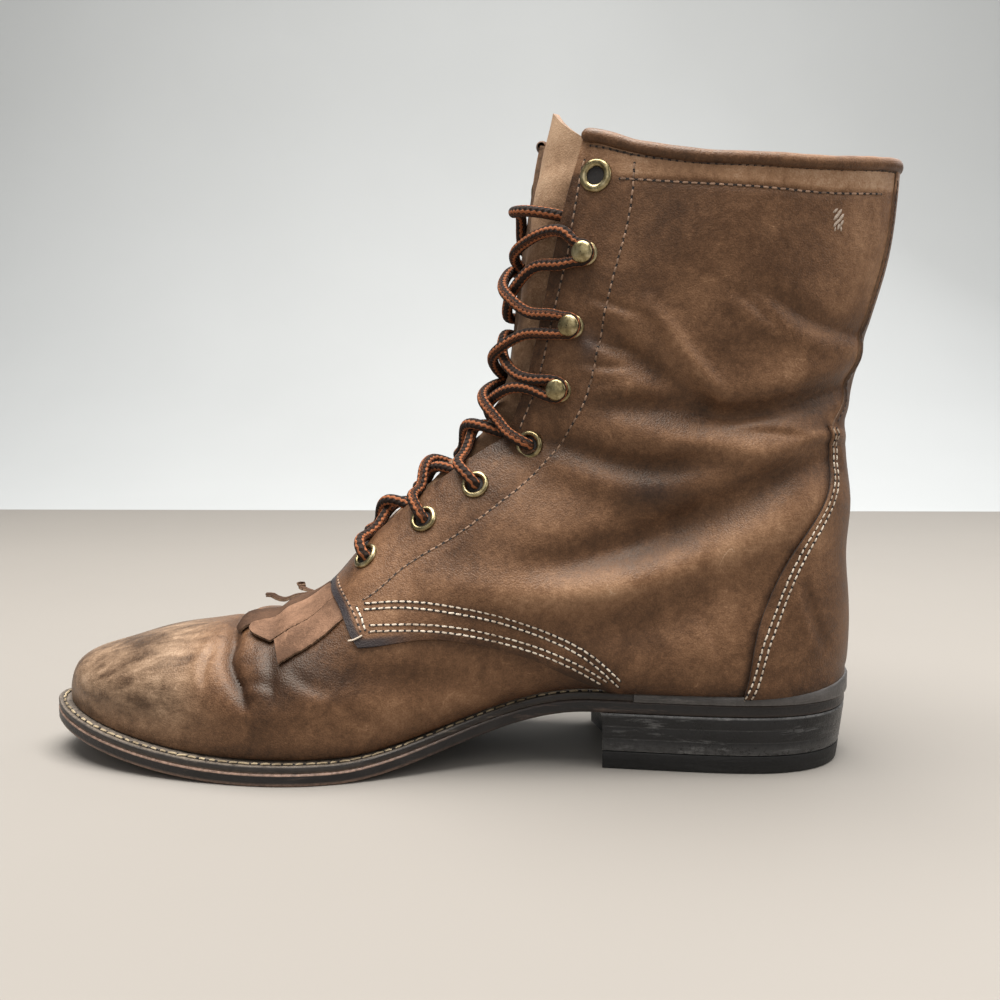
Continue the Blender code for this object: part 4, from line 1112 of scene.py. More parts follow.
def quarter_low(side):
    """q of the quarter's free edge as a function of u, and where that edge starts."""
    u, q = quarter_edge(side)
    first, last = u[0], u[-1]
    order = np.maximum.accumulate(u)
    keep = np.concatenate([[True], np.diff(order) > 1e-5])
    u, q = order[keep], q[keep]
    return (lambda at: np.interp(at, np.append(u, last + 0.12), np.append(q, 0.0))), first


def make_vamp():
    sheets = []
    rows = np.concatenate([np.linspace(0, 1.0, 26)[:-1], np.arange(1.0, VAMP_END_U, 0.045)])
    columns = np.linspace(0, 1, 74)
    for side in SIDES:
        low, _ = quarter_low(side)
        top = low(rows) + VAMP_UNDERLAP / MM_PER_Q
        blend = smoothstep((rows - THROAT_U - 0.35) / 0.5)
        reach = 2 * (1 - blend) + np.minimum(2, top) * blend
        u, q = np.broadcast_arrays(rows[:, None], reach[:, None] * columns)
        outer, worn = leather(side, u, q)
        inner, _ = leather(side, u, q, -WALL)
        points, faces, kinds = sheet(outer, inner)
        first = len(faces) - np.count_nonzero(kinds >= 2)
        rim = np.concatenate([reach[::-1][1:] == 2, np.ones(len(columns) - 1, bool)])
        keep = np.ones(len(faces), bool)
        keep[first : first + len(rim)] = ~rim
        base = skin(side, u, q)[0]
        values = {"tone": tones_on(side, base, worn, toe_tones(base)), "scuff": scuffs_on(base)}
        sheets.append((points, faces[keep], kinds[keep], values))
    made = build_sheets("vamp", sheets, ["leather", "lining", "edge", "edge"], merge=0.005)
    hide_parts("upper")


def make_quarter(side, name):
    low, first = quarter_low(side)
    rows = np.concatenate([np.linspace(first, 9.0, 50)[:-1], np.arange(9.0, COLLAR_U, 0.038), [COLLAR_U]])
    columns = with_rims(104, 0.004)
    bottom, top = low(rows), edge_q(side, rows)
    u, q = np.broadcast_arrays(rows[:, None], bottom[:, None] + (top - bottom)[:, None] * columns)
    u = below_collar(side, u, q)
    outer, worn = leather(side, u, q, quarter_lift(u))
    over_vamp = 1 - smoothstep(((q - bottom[:, None]) * MM_PER_Q - VAMP_UNDERLAP - 2) / 5)
    over_vamp = over_vamp * (1 - smoothstep((rows - 12.4) / 0.6))[:, None]
    inner, _ = leather(side, u, q, -WALL + over_vamp * (WALL + 0.1))
    base, normals = skin(side, u, q)
    outer[:, [0, -1]] -= 0.45 * normals[:, [0, -1]]
    flat = base.reshape(-1, 3)
    edge = skin(side, *quarter_edge(side))[0][::6, SIDE_VIEW]
    away, _, _ = line_distance(edge, flat[:, SIDE_VIEW])
    from_facing = ((top[:, None] - q) * MM_PER_Q).ravel()
    low_throat = np.broadcast_to((1 - smoothstep((rows - 10.5) / 4))[:, None], q.shape).ravel()
    dye = smoothstep((flat[:, 0] - 156) / 16) * (1 - smoothstep((away - 2.0) / 1.6))
    for amount in amounts_of(DYES, side, flat):
        dye = np.maximum(dye, amount)
    dark = 0.34 * (1 - smoothstep((away - 1.0) / 2.8))
    dark += 0.22 * low_throat * (1 - smoothstep((from_facing - 1) / 4))
    dark += 0.34 * (1 - low_throat) * (1 - smoothstep((from_facing - 2) / 6))
    # Painted shadow of the counter's front edge, on the quarter beside it
    beside, _, _ = line_distance(smooth_path(COUNTER_EDGE, 60), flat[:, SIDE_VIEW])
    dark += 0.6 * np.exp(-((beside / 1.7) ** 2))
    values = {"tone": tones_on(side, base, worn, -dark), "dye": dye}
    materials = ["leather", "lining", "edge", "facing_edge"]
    build_sheets(name, [(*sheet(outer, inner), values)], materials)


def counter_reach(side, rows):
    """q of the counter's front edge at each section."""
    u, q = spots_on(side, COUNTER_EDGE, 160)
    order = np.argsort(u)
    return np.interp(rows, u[order], q[order]), u.min(), u.max()


def counter_step(u):
    """How far the counter stands off the quarter: thinned towards its top."""
    return BACKSTAY_STEP + COUNTER_STEP * (1 - smoothstep((np.asarray(u, float) - 15.2) / 1.5))


def make_counter():
    sheets = []
    columns = np.concatenate([[0.0], np.linspace(0.03, 0.985, 46), [1.0]])
    for side in SIDES:
        _, first, last = counter_reach(side, np.array([13.0]))
        rows = np.concatenate([np.linspace(first, 15, 90), np.linspace(15, last, 60)[1:]])
        u, q = np.broadcast_arrays(rows[:, None], counter_reach(side, rows)[0][:, None] * columns)
        outer, worn = leather(side, u, q, quarter_lift(u) + counter_step(u))
        inner, _ = leather(side, u, q, quarter_lift(u) - 0.2)
        base, normals = skin(side, u, q)
        outer[:, -1] -= 0.5 * normals[:, -1]
        rim = np.tile(np.exp(-((1 - columns) * 30)), len(rows))
        values = {"tone": tones_on(side, base, worn, -0.3 * rim)}
        sheets.append((*sheet(outer, inner, open_columns=True), values))
    made = build_sheets("heel_counter_leather", sheets, ["leather", "leather", "edge", "edge"], merge=0.02)
    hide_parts("heel_counter")


BACKSTAY_LOW_U = 16.75
BACKSTAY_HALF = 16.5
BACKSTAY_FLARE = 10.0


def backstay_half(u):
    """Half width of the strip up the back, widest where it meets the counter."""
    return BACKSTAY_HALF + BACKSTAY_FLARE * smoothstep((17.55 - u) / 0.65)


def q_from_back(side, u, distances):
    """q of places that far from the back seam."""
    qs = np.linspace(0, 0.9, 120)
    return np.array([np.interp(d, reach_along(skin(side, k, qs)[0]), qs) for k, d in zip(u, distances)])


def make_backstay():
    rows = np.linspace(BACKSTAY_LOW_U, COLLAR_U, 130)
    halves = []
    shares = np.concatenate([[0.0], np.linspace(0.1, 0.96, 10), [1.0]])
    for side in SIDES:
        q = q_from_back(side, rows, backstay_half(rows))[:, None] * shares
        u = below_collar(side, np.broadcast_to(rows[:, None], q.shape), q)
        outer, worn = leather(side, u, q, quarter_lift(u) + BACKSTAY_STEP)
        inner, _ = leather(side, u, q, quarter_lift(u) - 0.2)
        base, normals = skin(side, u, q)
        outer[:, -1] -= 0.35 * normals[:, -1]
        rim = np.tile(shares, len(rows)) ** 8
        tone = tones_on(side, base, worn, -0.16 - 0.25 * rim).reshape(q.shape)
        halves.append((outer, inner, tone))
    outer, inner, tone = (np.concatenate([halves[1][k][:, :0:-1], halves[0][k]], axis=1) for k in range(3))
    materials = ["leather", "lining", "facing_edge", "facing_edge"]
    build_sheets("backstay", [(*sheet(outer, inner), {"tone": tone})], materials)


def make_binding():
    """The rolled edge round the collar, from the inner facing to the outer one."""
    parts = []
    for side in SIDES:
        q = np.linspace(edge_q(side, COLLAR_U), 0, 110)
        points, normals = skin(side, COLLAR_U + collar_shift(side, q), q)
        points = points - normals * (WALL / 2 - 0.7)
        parts.append(points if side > 0 else points[-2::-1])
    path = np.concatenate(parts)
    turn = np.linspace(0, 1, len(path))
    radius = BINDING_RADIUS * (0.93 + 0.03 * np.sin(turn * 63) + 0.02 * np.sin(turn * 149))
    radius[[0, -1]] *= 0.55
    radius[[1, -2]] *= 0.9
    points, quads, _, around = tube(path, radius, 22)
    # Paler on top of the roll and darker under it: painted highlight and painted shade
    tone = -0.06 + 0.20 * np.cos(2 * np.pi * around)
    made = build("collar_binding_leather", points, quads, ["leather"], None, {"tone": tone})
    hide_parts("collar_binding")


def make_tongue():
    """Pressed down under the facings, swelling between them, with a top that falls away to both sides."""
    rows = np.linspace(8.45, TONGUE_TOP_U, 200)
    columns = with_rims(60, 0.012) * 2 - 1
    place, across = np.broadcast_arrays(rows[:, None], columns[None, :])
    fall = np.where(across > TONGUE_PEAK, TONGUE_NEAR_FALL, TONGUE_FALL) * np.abs(across - TONGUE_PEAK) ** 1.6
    fall = fall * (place - rows[0]) / (rows[-1] - rows[0])
    u = place - fall
    gap = {side: cut_at(side, u)["gap"] for side in SIDES}
    y = (gap[1] - gap[-1]) / 2 + across * (gap[1] + gap[-1] + 2 * TONGUE_OVERLAP) / 2
    points, normals = np.empty(u.shape + (3,)), np.empty(u.shape + (3,))
    for side in SIDES:
        mine = y * side >= 0
        points[mine], normals[mine] = skin(side, u[mine], across_q(side, u[mine], y[mine]))
    between = np.minimum(gap[1] - y, y + gap[-1])
    laced = 1 - smoothstep((u - 19.4) / 0.8)
    pressed = WALL + 0.8 + 3.4 * laced
    sway = 0.3 * np.sin(u * 2.3 + across * 2) + 0.2 * np.sin(u * 5.1 - across * 3)
    lift = -pressed + (pressed - 1.0 - 1.7 * smoothstep((u - 15) / 2)) * smoothstep((between + 2) / 9) + sway
    outer = points + normals * lift[..., None]
    inner = points + normals * (lift - TONGUE_THICK)[..., None]
    outer[:, [0, -1]] -= 0.4 * normals[:, [0, -1]]
    tone = 0.25 * sway - 0.04 + 0.42 * smoothstep((u - 19.0) / 2)
    materials = ["tongue", "lining", "pale_edge", "pale_edge"]
    made = build_sheets("tongue_leather", [(*sheet(outer, inner), {"tone": tone})], materials)
    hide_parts("tongue")


# Fringed leaf on the vamp

Strip = namedtuple("Strip", "root_low root_high tip_low tip_high end rise curl tone")
STRIPS = [
    Strip((176, 30.6), (182, 19.6), (206.2, 40.8), (209.8, 31.4), 0.0, 0.5, 0.0, 0.0),
    Strip((182, 19.4), (186, 1.4), (211.5, 31.6), (219.6, 20.6), 3.4, 0.6, 0.0, 0.06),
    Strip((186, 1.0), (187, -8.0), (223.6, 23.4), (227.0, 13.0), 1.5, 0.7, 0.0, -0.55),
    Strip((187, -7.0), (187, -14.0), (222.0, 3.0), (221.0, -1.0), 0.5, 4.6, 4.0, -0.50),
    Strip((187, -13.0), (186, -21.0), (214.0, -12.0), (212.0, -16.0), 0.5, 5.6, 5.0, -0.45),
    Strip((185, -20.5), (180, -30.0), (208.0, -27.0), (202.0, -36.0), 0.5, 3.5, 0.0, -0.35),
]
KILTIE_THICK = 1.15
KILTIE_TUCK = -0.65  # under the quarters
_front_edge = row_spline(QUARTER_FRONT, "z", "s")


def vamp_top(s, y):
    """Points and normals on top of the vamp at plan places (s, y)."""
    s, y = np.broadcast_arrays(np.asarray(s, float), np.asarray(y, float))
    points, normals = np.empty(s.shape + (3,)), np.empty(s.shape + (3,))
    for side in SIDES:
        mine = (y >= 2.5) if side > 0 else (y < 2.5)
        if not mine.any():
            continue
        u = 8.0 - (s[mine] - 193.0) / 19.0
        q = np.full(u.shape, 1.5)
        wanted = np.stack([s[mine], y[mine]], axis=1)
        u, q = close_in(side, u, q, wanted, TOP_VIEW, 12, 0.3, 9.2, 0.7)
        base, normal = skin(side, u, q)
        points[mine] = base + normal * relief(side, base)[:, None]
        normals[mine] = normal
    return points, normals


def make_kiltie():
    sheets = []
    t = with_rims(60, 0.008)[:, None]
    a = with_rims(18, 0.035)[None, :]
    for number, strip in enumerate(STRIPS):
        low, high = (
            np.asarray(root) + (np.asarray(tip) - np.asarray(root)) * t
            for root, tip in ((strip.root_low, strip.tip_low), (strip.root_high, strip.tip_high))
        )
        ragged = RANDOM.normal(0, 0.13, (len(t), 2)) * smoothstep((t - 0.3) / 0.3)
        low[:, 1:] += ragged[:, :1]
        high[:, 1:] -= ragged[:, 1:]
        plan = low[:, None] + (high - low)[:, None] * a[..., None]
        plan[..., 0] += strip.end * np.sin(np.pi * a) * smoothstep((t - 0.75) / 0.25)
        plan[..., 0] -= strip.curl * smoothstep((t - 0.7) / 0.3) ** 2
        base, normals = vamp_top(plan[..., 0], plan[..., 1])
        ahead = base[..., 0] - _front_edge(np.clip(base[..., 2], QUARTER_FRONT[-1].z, QUARTER_FRONT[0].z))
        free = smoothstep((ahead + 0.5) / 5)
        lift = 0.2 + strip.rise * smoothstep((t - 0.45) / 0.55) ** 1.3 + 0.3 * np.sin(np.pi * a) * t
        lift = KILTIE_TUCK + free * (lift - KILTIE_TUCK)
        outer = base + normals * (lift + KILTIE_THICK)[..., None]
        inner = base + normals * lift[..., None]
        outer[:, [0, -1]] -= 0.25 * normals[:, [0, -1]]
        shade = strip.tone + 0.14 * np.sin(5 * t + 2 * number + 3 * a) - 0.22 * smoothstep((t - 0.6) / 0.4)
        shade = shade - 0.25 * (1 - smoothstep((ahead - 1) / 6))
        sheets.append((*sheet(outer, inner), {"tone": shade}))
    made = build_sheets("kiltie_fringe", sheets, ["kiltie", "pale_edge", "facing_edge", "facing_edge"])
    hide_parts("kiltie")


# Stitching

Seam = namedtuple("Seam", "pitch length thread loose")
DOUBLE_SEAM = Seam(2.5, 1.95, "thread", 0.08)
DOUBLE_ROWS = (-1.1, 1.1)  # its two rows, from the middle line
FACING_SEAM = Seam(2.9, 2.0, "tan_thread", 0.06)
EDGE_SEAM = Seam(3.0, 2.1, "tan_thread", 0.06)
# Places (u, distance behind the edge of the facing)
EDGE_ROW = [(14.6, 4.8), (16.6, 5.4), (18.0, 5.4), (19.0, 6.0), (20.25, 3.2), (21.0, 2.6)]
BINDING_SEAM = Seam(2.6, 1.9, "dark_thread", 0.06)
WELT_SEAM = Seam(3.9, 3.2, "welt_thread", 0.17)
THREADS = {"thread": [], "tan_thread": [], "dark_thread": [], "welt_thread": []}
# Dark discs at the ends of the stitches: painted shade in the needle holes
HOLE_SHADES = []
STITCH_WIDTH = 0.34


def sew(path, normals, seam, offset=0.0):
    """Lays stitches along a path on the leather, offset sideways."""
    path, normals = np.asarray(path, float), np.asarray(normals, float)
    tangent = np.gradient(path, axis=0)
    tangent /= np.linalg.norm(tangent, axis=1, keepdims=True)
    path = path + np.cross(normals, tangent) * offset
    reach = reach_along(path)
    middles = np.arange(seam.pitch, reach[-1] - seam.pitch / 2, seam.pitch)

    def along(values, where):
        return np.stack([np.interp(where, reach, column) for column in values.T], axis=1)

    jitter = RANDOM.normal(0, seam.loose, (len(middles), 2))
    half = seam.length / 2 * (1 + jitter[:, :1])
    spot, way, up = (along(v, middles) for v in (path, tangent, normals))
    way /= np.linalg.norm(way, axis=1, keepdims=True)
    side = np.cross(up, way)
    way = way + side * jitter[:, 1:] * 0.8
    THREADS[seam.thread].append((spot + up * 0.12, way * half, side, up))
    # a dark disc at each end of the stitch: painted shade in its needle hole
    for end in (-1, 1):
        HOLE_SHADES.append((spot + way * half * end * 1.08 + up * 0.05, way, side, up))


def capsule():
    """A short rounded stitch: rings of (along, across, up) in half lengths."""
    turns = 2 * np.pi * np.arange(6) / 6
    rings = [(-1.0, 0.35), (-0.8, 0.85), (-0.3, 1.0), (0.3, 1.0), (0.8, 0.85), (1.0, 0.35)]
    points = [(t, r * np.cos(a), r * np.sin(a) - 0.5 * t * t) for t, r in rings for a in turns]
    ids = np.arange(len(points)).reshape(len(rings), 6)
    caps = [ring[corners] for corners in ([0, 1, 2, 3], [0, 3, 4, 5]) for ring in (ids[0], ids[-1])]
    return np.array(points), np.concatenate([ring_quads(ids), caps])


def make_threads():
    shape, faces = capsule()
    for thread, rows in THREADS.items():
        spot, way, side, up = (np.concatenate(columns) for columns in zip(*rows))
        width = STITCH_WIDTH * (1.35 if thread == "welt_thread" else 1.0)
        points = (
            spot[:, None]
            + way[:, None] * shape[None, :, :1]
            + side[:, None] * shape[None, :, 1:2] * width
            + up[:, None] * shape[None, :, 2:] * width * 0.8
        )
        quads = faces[None] + (np.arange(len(spot)) * len(shape))[:, None, None]
        build(f"stitches_{thread}", points.reshape(-1, 3), quads.reshape(-1, 4), [thread])


# Dark discs on the leather: painted shade in the needle holes
def make_hole_shades():
    turns = 2 * np.pi * np.arange(8) / 8
    ring = np.stack([np.cos(turns), np.sin(turns)], axis=1) * 0.5
    spot, way, side, up = (np.concatenate(columns) for columns in zip(*HOLE_SHADES))
    way = way / np.linalg.norm(way, axis=1, keepdims=True)
    disc = way[:, None] * ring[None, :, :1] + side[:, None] * ring[None, :, 1:]
    low = spot[:, None] + disc - up[:, None] * 0.25
    high = spot[:, None] + disc * 0.8 + up[:, None] * 0.06
    points = np.concatenate([low, high], axis=1).reshape(-1, 3)
    ids = np.arange(8)
    right = np.roll(ids, -1)
    wall = np.stack([ids, right, right + 8, ids + 8], axis=1)
    top = [[8, 9, 10, 11], [8, 11, 12, 15], [12, 13, 14, 15]]
    under = [[0, 3, 2, 1], [0, 7, 4, 3], [4, 7, 6, 5]]
    quads = np.concatenate([wall, top, under])[None] + (np.arange(len(spot)) * 16)[:, None, None]
    build("painted_hole_shades", points, quads.reshape(-1, 4), ["hole"])


def sew_upper():
    for side in SIDES:
        def line(u, q, seam, offsets=(0.0,), extra=0.0):
            points, _ = leather(side, u, q, quarter_lift(u) + extra)
            for offset in offsets:
                sew(points, skin(side, u, q)[1], seam, offset)

        for row, extra in ((UPPER_PAIR, 0.24), (LOWER_PAIR, 0.08)):
            line(*spots_on(side, row, 160), DOUBLE_SEAM, DOUBLE_ROWS, extra)
        line(*spots_on(side, FRONT_ROW, 60), FACING_SEAM)
        line(*spots_on(side, FRONT_JOIN, 30), DOUBLE_SEAM)
        line(*spots_on(side, FACING_ROW, 220), FACING_SEAM)
        line(*spots_on(side, COLLAR_ROW, 120), EDGE_SEAM)
        u = np.linspace(EDGE_ROW[0][0], COLLAR_U - 0.1, 200)
        line(u, behind_edge(side, u, np.interp(u, *zip(*EDGE_ROW))), EDGE_SEAM)
        q = np.linspace(edge_q(side, COLLAR_U) - 0.03, 0.14, 160)
        line(below_collar(side, np.full(160, COLLAR_U - 0.19), q), q, BINDING_SEAM)
        u, q = spots_on(side, COUNTER_EDGE, 170)
        line(u + 0.02, np.maximum(0.0, q - 0.045), DOUBLE_SEAM, DOUBLE_ROWS, counter_step(u))
        u = np.linspace(BACKSTAY_LOW_U + 0.3, COLLAR_U - 0.25, 140)
        line(u, q_from_back(side, u, backstay_half(u) - 1.6), BINDING_SEAM, (0.0,), BACKSTAY_STEP)


Stroke = namedtuple("Stroke", "s z length turn width")
PALE_MARK = [
    Stroke(15.0, 196.6, 2.2, 140, 0.50),
    Stroke(13.6, 196.0, 3.0, 128, 0.62),
    Stroke(14.4, 194.8, 3.6, 130, 0.66),
    Stroke(12.8, 194.4, 3.4, 128, 0.60),
    Stroke(13.8, 193.2, 3.6, 136, 0.60),
    Stroke(12.4, 192.6, 2.4, 120, 0.50),
    Stroke(14.8, 192.2, 2.2, 118, 0.52),
    Stroke(13.6, 191.4, 2.2, 100, 0.50),
    Stroke(12.6, 190.8, 1.8, 84, 0.40),
    Stroke(14.8, 190.6, 1.6, 95, 0.36),
]


def make_marks():
    """A pale scraped spot high on the shaft, and the loose end of a thread at the quarter's corner."""
    taper = np.array([0.3, 0.9, 1.0, 0.85, 0.25])
    scrapes = []
    for stroke in PALE_MARK:
        turn = math.radians(stroke.turn)
        ahead, up = stroke.length / 2 * math.cos(turn), stroke.length / 2 * math.sin(turn)
        ends = spots((stroke.s - ahead, stroke.z - up), (stroke.s + ahead, stroke.z + up))
        u, q = spots_on(1, ends, len(taper))
        path, _ = leather(1, u, q, quarter_lift(u) - 0.06)
        scrapes.append(tube(path, stroke.width * taper, 8)[:2])
    build("pale_mark", *joined(scrapes), ["pale_mark"])
    u, q = spots_on(1, LOOSE_THREAD, 24)
    path, _ = leather(1, u, q, quarter_lift(u) + 0.45)
    build("loose_thread", *tube(path, 0.30, 8)[:2], ["thread"])


WELT_STITCH_INSET = 2.3
WELT_END_S = 82.0  # where the welt meets the strip round the heel seat


def sew_welt():
    angles = np.linspace(round_end_angle(WELT_END_S + 2), np.pi, 300)
    inner, outer = (sole_edge(angles, side, WELT_STITCH_INSET) for side in SIDES)
    s, y = (np.concatenate([a, b[-2::-1]]) for a, b in zip(inner, outer))
    path = np.stack([s, y, seam_level(s) - SEAM_GAP + 0.1], axis=1)
    sew(path, np.tile([0.0, 0, 1.0], (len(path), 1)), WELT_SEAM)


# Eyelets, hooks and lace

def fitting_frame(fitting, side):
    """Middle of a fitting, its outward direction, the direction to the throat and the one beside that."""
    q = behind_edge(side, fitting.u, fitting.edge)[0]
    point, _ = leather(side, np.array([fitting.u]), np.array([q]), quarter_lift(fitting.u))
    place, normal = skin(side, fitting.u, q)
    over = skin(side, fitting.u, q + 0.02)[0] - place
    over = over - normal * (over @ normal)
    over /= np.linalg.norm(over)
    return point[0], normal, over, np.cross(normal, over)


def turned(profile, sides, at):
    """A mesh turned round a fitting's axis from (radius, height) points that form a closed loop."""
    point, normal, over, beside = at
    turns = 2 * np.pi * np.arange(sides) / sides
    spokes = np.cos(turns)[:, None] * over + np.sin(turns)[:, None] * beside
    profile = np.asarray(profile, float)
    points = point + spokes[:, None] * profile[None, :, :1] + normal * profile[None, :, 1:]
    ids = np.arange(sides * len(profile)).reshape(sides, len(profile))
    after = np.roll(ids, -1, axis=0)
    quads = np.stack([ids, np.roll(ids, -1, axis=1), np.roll(after, -1, axis=1), after], axis=-1)
    return points.reshape(-1, 3), quads.reshape(-1, 4)


def eyelet_profile(flange):
    arc = np.linspace(0, np.pi, 11)
    middle, half = (flange + EYELET_HOLE) / 2, (flange - EYELET_HOLE) / 2
    rim = [(middle + half * math.cos(a), 1.15 * math.sin(a)) for a in arc]
    barrel = EYELET_HOLE + 0.5
    return rim + [(EYELET_HOLE, -3.8), (barrel, -3.8), (barrel, -0.5), (flange - 0.1, -0.5)]


# A dark disc in each eyelet's hole: painted shade
EYELET_HOLE_SHADE = [(0.05, 0.15), (EYELET_HOLE, 0.15), (EYELET_HOLE, -0.3), (0.05, -0.3)]
HOOK_NECK_SHIFT = 1.4  # from the middle of the cap towards the throat
HOOK_NECK = 1.35
HOOK_CAP = 3.8
HOOK_CAP_LEVEL = 4.3


def hook_meshes(fitting, side):
    """Base, neck and cap of a hook; its neck stands towards the throat, so the cap reaches over the lace."""
    point, normal, over, beside = fitting_frame(fitting, side)
    base, level = fitting.flange - 0.6, HOOK_CAP_LEVEL
    plate = [(0.05, -1.0), (base, -0.4), (base, 0.25), (base - 0.35, 0.55), (base - 0.9, 0.65), (0.05, 0.7)]
    neck = [(0.05, 0.4), (HOOK_NECK + 0.7, 0.4), (HOOK_NECK, 1.2), (HOOK_NECK, 3.8)]
    neck += [(HOOK_NECK + 0.5, 4.6), (0.05, 4.7)]
    cap = [(0.05, level), (HOOK_CAP - 0.5, level), (HOOK_CAP - 0.1, level + 0.2)]
    cap += [(HOOK_CAP * math.cos(a), level + 0.5 + 1.35 * math.sin(a)) for a in np.linspace(0, 1.52, 10)]
    shifted = point + over * HOOK_NECK_SHIFT
    return [
        turned(plate, 32, (point, normal, over, beside)),
        turned(neck, 20, (shifted, normal, over, beside)),
        turned(cap, 32, (point, normal, over, beside)),
    ]


def make_fittings():
    for side, word in ((1, "inner"), (-1, "outer")):
        eyelets = [f for f in FITTINGS if f.kind == "eyelet"]
        hooks = [f for f in FITTINGS if f.kind == "hook"]
        rings = [turned(eyelet_profile(f.flange), 40, fitting_frame(f, side)) for f in eyelets]
        made = build(f"eyelets_{word}_brass", *joined(rings), ["brass"])
        # dark discs in the eyelet holes: painted shade
        discs = [turned(EYELET_HOLE_SHADE, 24, fitting_frame(f, side)) for f in eyelets]
        build(f"eyelet_bottoms_{word}", *joined(discs), ["hole"])
        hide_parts(*[f"{f.name}_{word}" for f in eyelets])
        studs = [mesh for f in hooks for mesh in hook_meshes(f, side)]
        made = build(f"hooks_{word}_brass", *joined(studs), ["brass"])
        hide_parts(*[f"{f.name}_{word}" for f in hooks])


def facing_spot(side, u, distance, lift):
    """A place over (or under) a facing: distance behind its edge, at a lift from its outside."""
    q = behind_edge(side, u, distance)
    point, _ = leather(side, np.array([u]), q, quarter_lift(u) + lift)
    return point[0]


def across_gap(side, u, share, lift):
    """A place between the facings: share 0 at the edge of side, 1 at the other edge."""
    start, end = side * cut_at(side, np.asarray(u))["gap"], -side * cut_at(-side, np.asarray(u))["gap"]
    y = start + (end - start) * share
    here = 1 if y >= 0 else -1
    point, normal = skin(here, u, across_q(here, u, y))
    return point + normal * lift


TUCK = -WALL - LACE_RADIUS  # lift of a lace under a facing
LACE_OVER = 3.6  # extra rise of the strand that crosses over the other
LACE_BAR = -1.7  # lift of the lace between the two lowest eyelets
LAST_CROSSING = {1: (0.30, -0.16), -1: (0.64, 0.52)}  # its start and end above the top hook, for each half


def lace_points(first_side):
    """Middle line and thickness of one half of the lace: from the middle of the throat under the facing, out
    through each eyelet, across the tongue and under the other facing; then round the back of each hook; at
    last across the throat, with its end tucked behind the facing."""
    laced = FITTINGS[:7]
    points, thick = [], []

    def go(point, radius=LACE_RADIUS):
        points.append(point)
        thick.append(radius)

    side = first_side
    for number, here in enumerate(laced):
        last = number + 1 == len(laced)
        point, normal, over, beside = fitting_frame(here, side)
        if number == 0:
            go(across_gap(side, here.u, 0.5, LACE_BAR))
            go(across_gap(side, here.u, 0.2, LACE_BAR))
            go(facing_spot(side, here.u, 2.0, TUCK + 0.6))
        if here.kind == "eyelet":
            go(point - normal * 4.6 + over * 0.6)
            go(point - normal * 1.4)
            go(point + normal * 1.5 + over * 0.5)
            go(point + normal * 3.0 + over * 3.4)
            go(facing_spot(side, here.u + 0.06, 1.2, 2.5))
        else:
            middle = point + over * HOOK_NECK_SHIFT + normal * 2.5
            ring = HOOK_NECK + HOOKED_LACE_RADIUS + 0.1
            for turn in (105, 55, 0, -55, -105):
                a = math.radians(turn)
                go(middle + ring * (math.cos(a) * -over + math.sin(a) * beside * side), HOOKED_LACE_RADIUS)
            go(facing_spot(side, here.u + (0.24 if last else 0.16), here.edge * 0.4, 2.6))
        after = here if last else laced[number + 1]
        u_start, u_end = here.u + 0.12, after.u - 0.12
        if last:
            u_start, u_end = (here.u + rise for rise in LAST_CROSSING[first_side])
        for share in (0.06, 0.32, 0.66, 0.93):
            level = 1.5 + (LACE_OVER * math.sin(math.pi * share) ** 2 if first_side < 0 else 0.0)
            if share > 0.9:
                level = 2.3 if after.kind == "hook" and not last else -1.5
            go(across_gap(side, u_start + (u_end - u_start) * share, share, level + 0.6 * (share < 0.1)))
        if last:
            go(facing_spot(-side, u_end - 0.05, 4.0, TUCK))
            go(facing_spot(-side, u_end - 0.10, 9.0, TUCK))
        elif after.kind == "eyelet":
            go(facing_spot(-side, after.u - 0.06, 3.2, TUCK))
        else:
            go(facing_spot(-side, after.u - 0.16, after.edge * 0.4, 2.4))
        side = -side
    return np.array(points), np.array(thick)


def make_lace():
    for name, first in (("lace_strand_a", 1), ("lace_strand_b", -1)):
        points, thick = lace_points(first)
        path = smooth_path(np.column_stack([points, thick]), 1000)
        tube_points, quads, along, around = tube(path[:, :3], path[:, 3], 16)
        values = {"along": along, "around": around}
        build(name, tube_points, quads, ["lace"], None, values)
    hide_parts("lace")


# Bottom

def forepart(s):
    """How much the edges are rubbed: much at the toe, little from the waist back."""
    return 0.08 + 0.92 * smoothstep((s - 130) / 60)


def loft_quads(grid):
    """Faces over a grid whose rows are closed rings, with the first and last ring filled."""
    ids = np.arange(grid.shape[0] * grid.shape[1]).reshape(grid.shape[:2])
    steps = range(grid.shape[1] // 2 - 1)
    caps = [(row[k], row[k + 1], row[-k - 2], row[-k - 1]) for row in (ids[0], ids[-1]) for k in steps]
    return np.concatenate([ring_quads(ids), caps])


# Rims of the plate, from the bottom over its edge to the top: inset, height over the bottom, wear
PlateRim = namedtuple("PlateRim", "inset height wear")
OUTSOLE_RIMS = [
    PlateRim(6.0, 0.0, 0.3),
    PlateRim(1.0, 0.0, 0.8),
    PlateRim(0.4, 0.2, 0.9),
    PlateRim(0.0, 0.8, 0.5),
    PlateRim(0.0, 1.5, 0.0),
    PlateRim(0.0, 3.7, 0.0),
    PlateRim(0.0, 4.0, 0.9),
    PlateRim(0.3, 4.5, 1.0),
    PlateRim(0.8, 4.8, 0.8),
    PlateRim(6.0, 4.8, 0.0),
]
OUTSOLE_TIP = 0.02  # how far the plate stops short of the outline's two tips


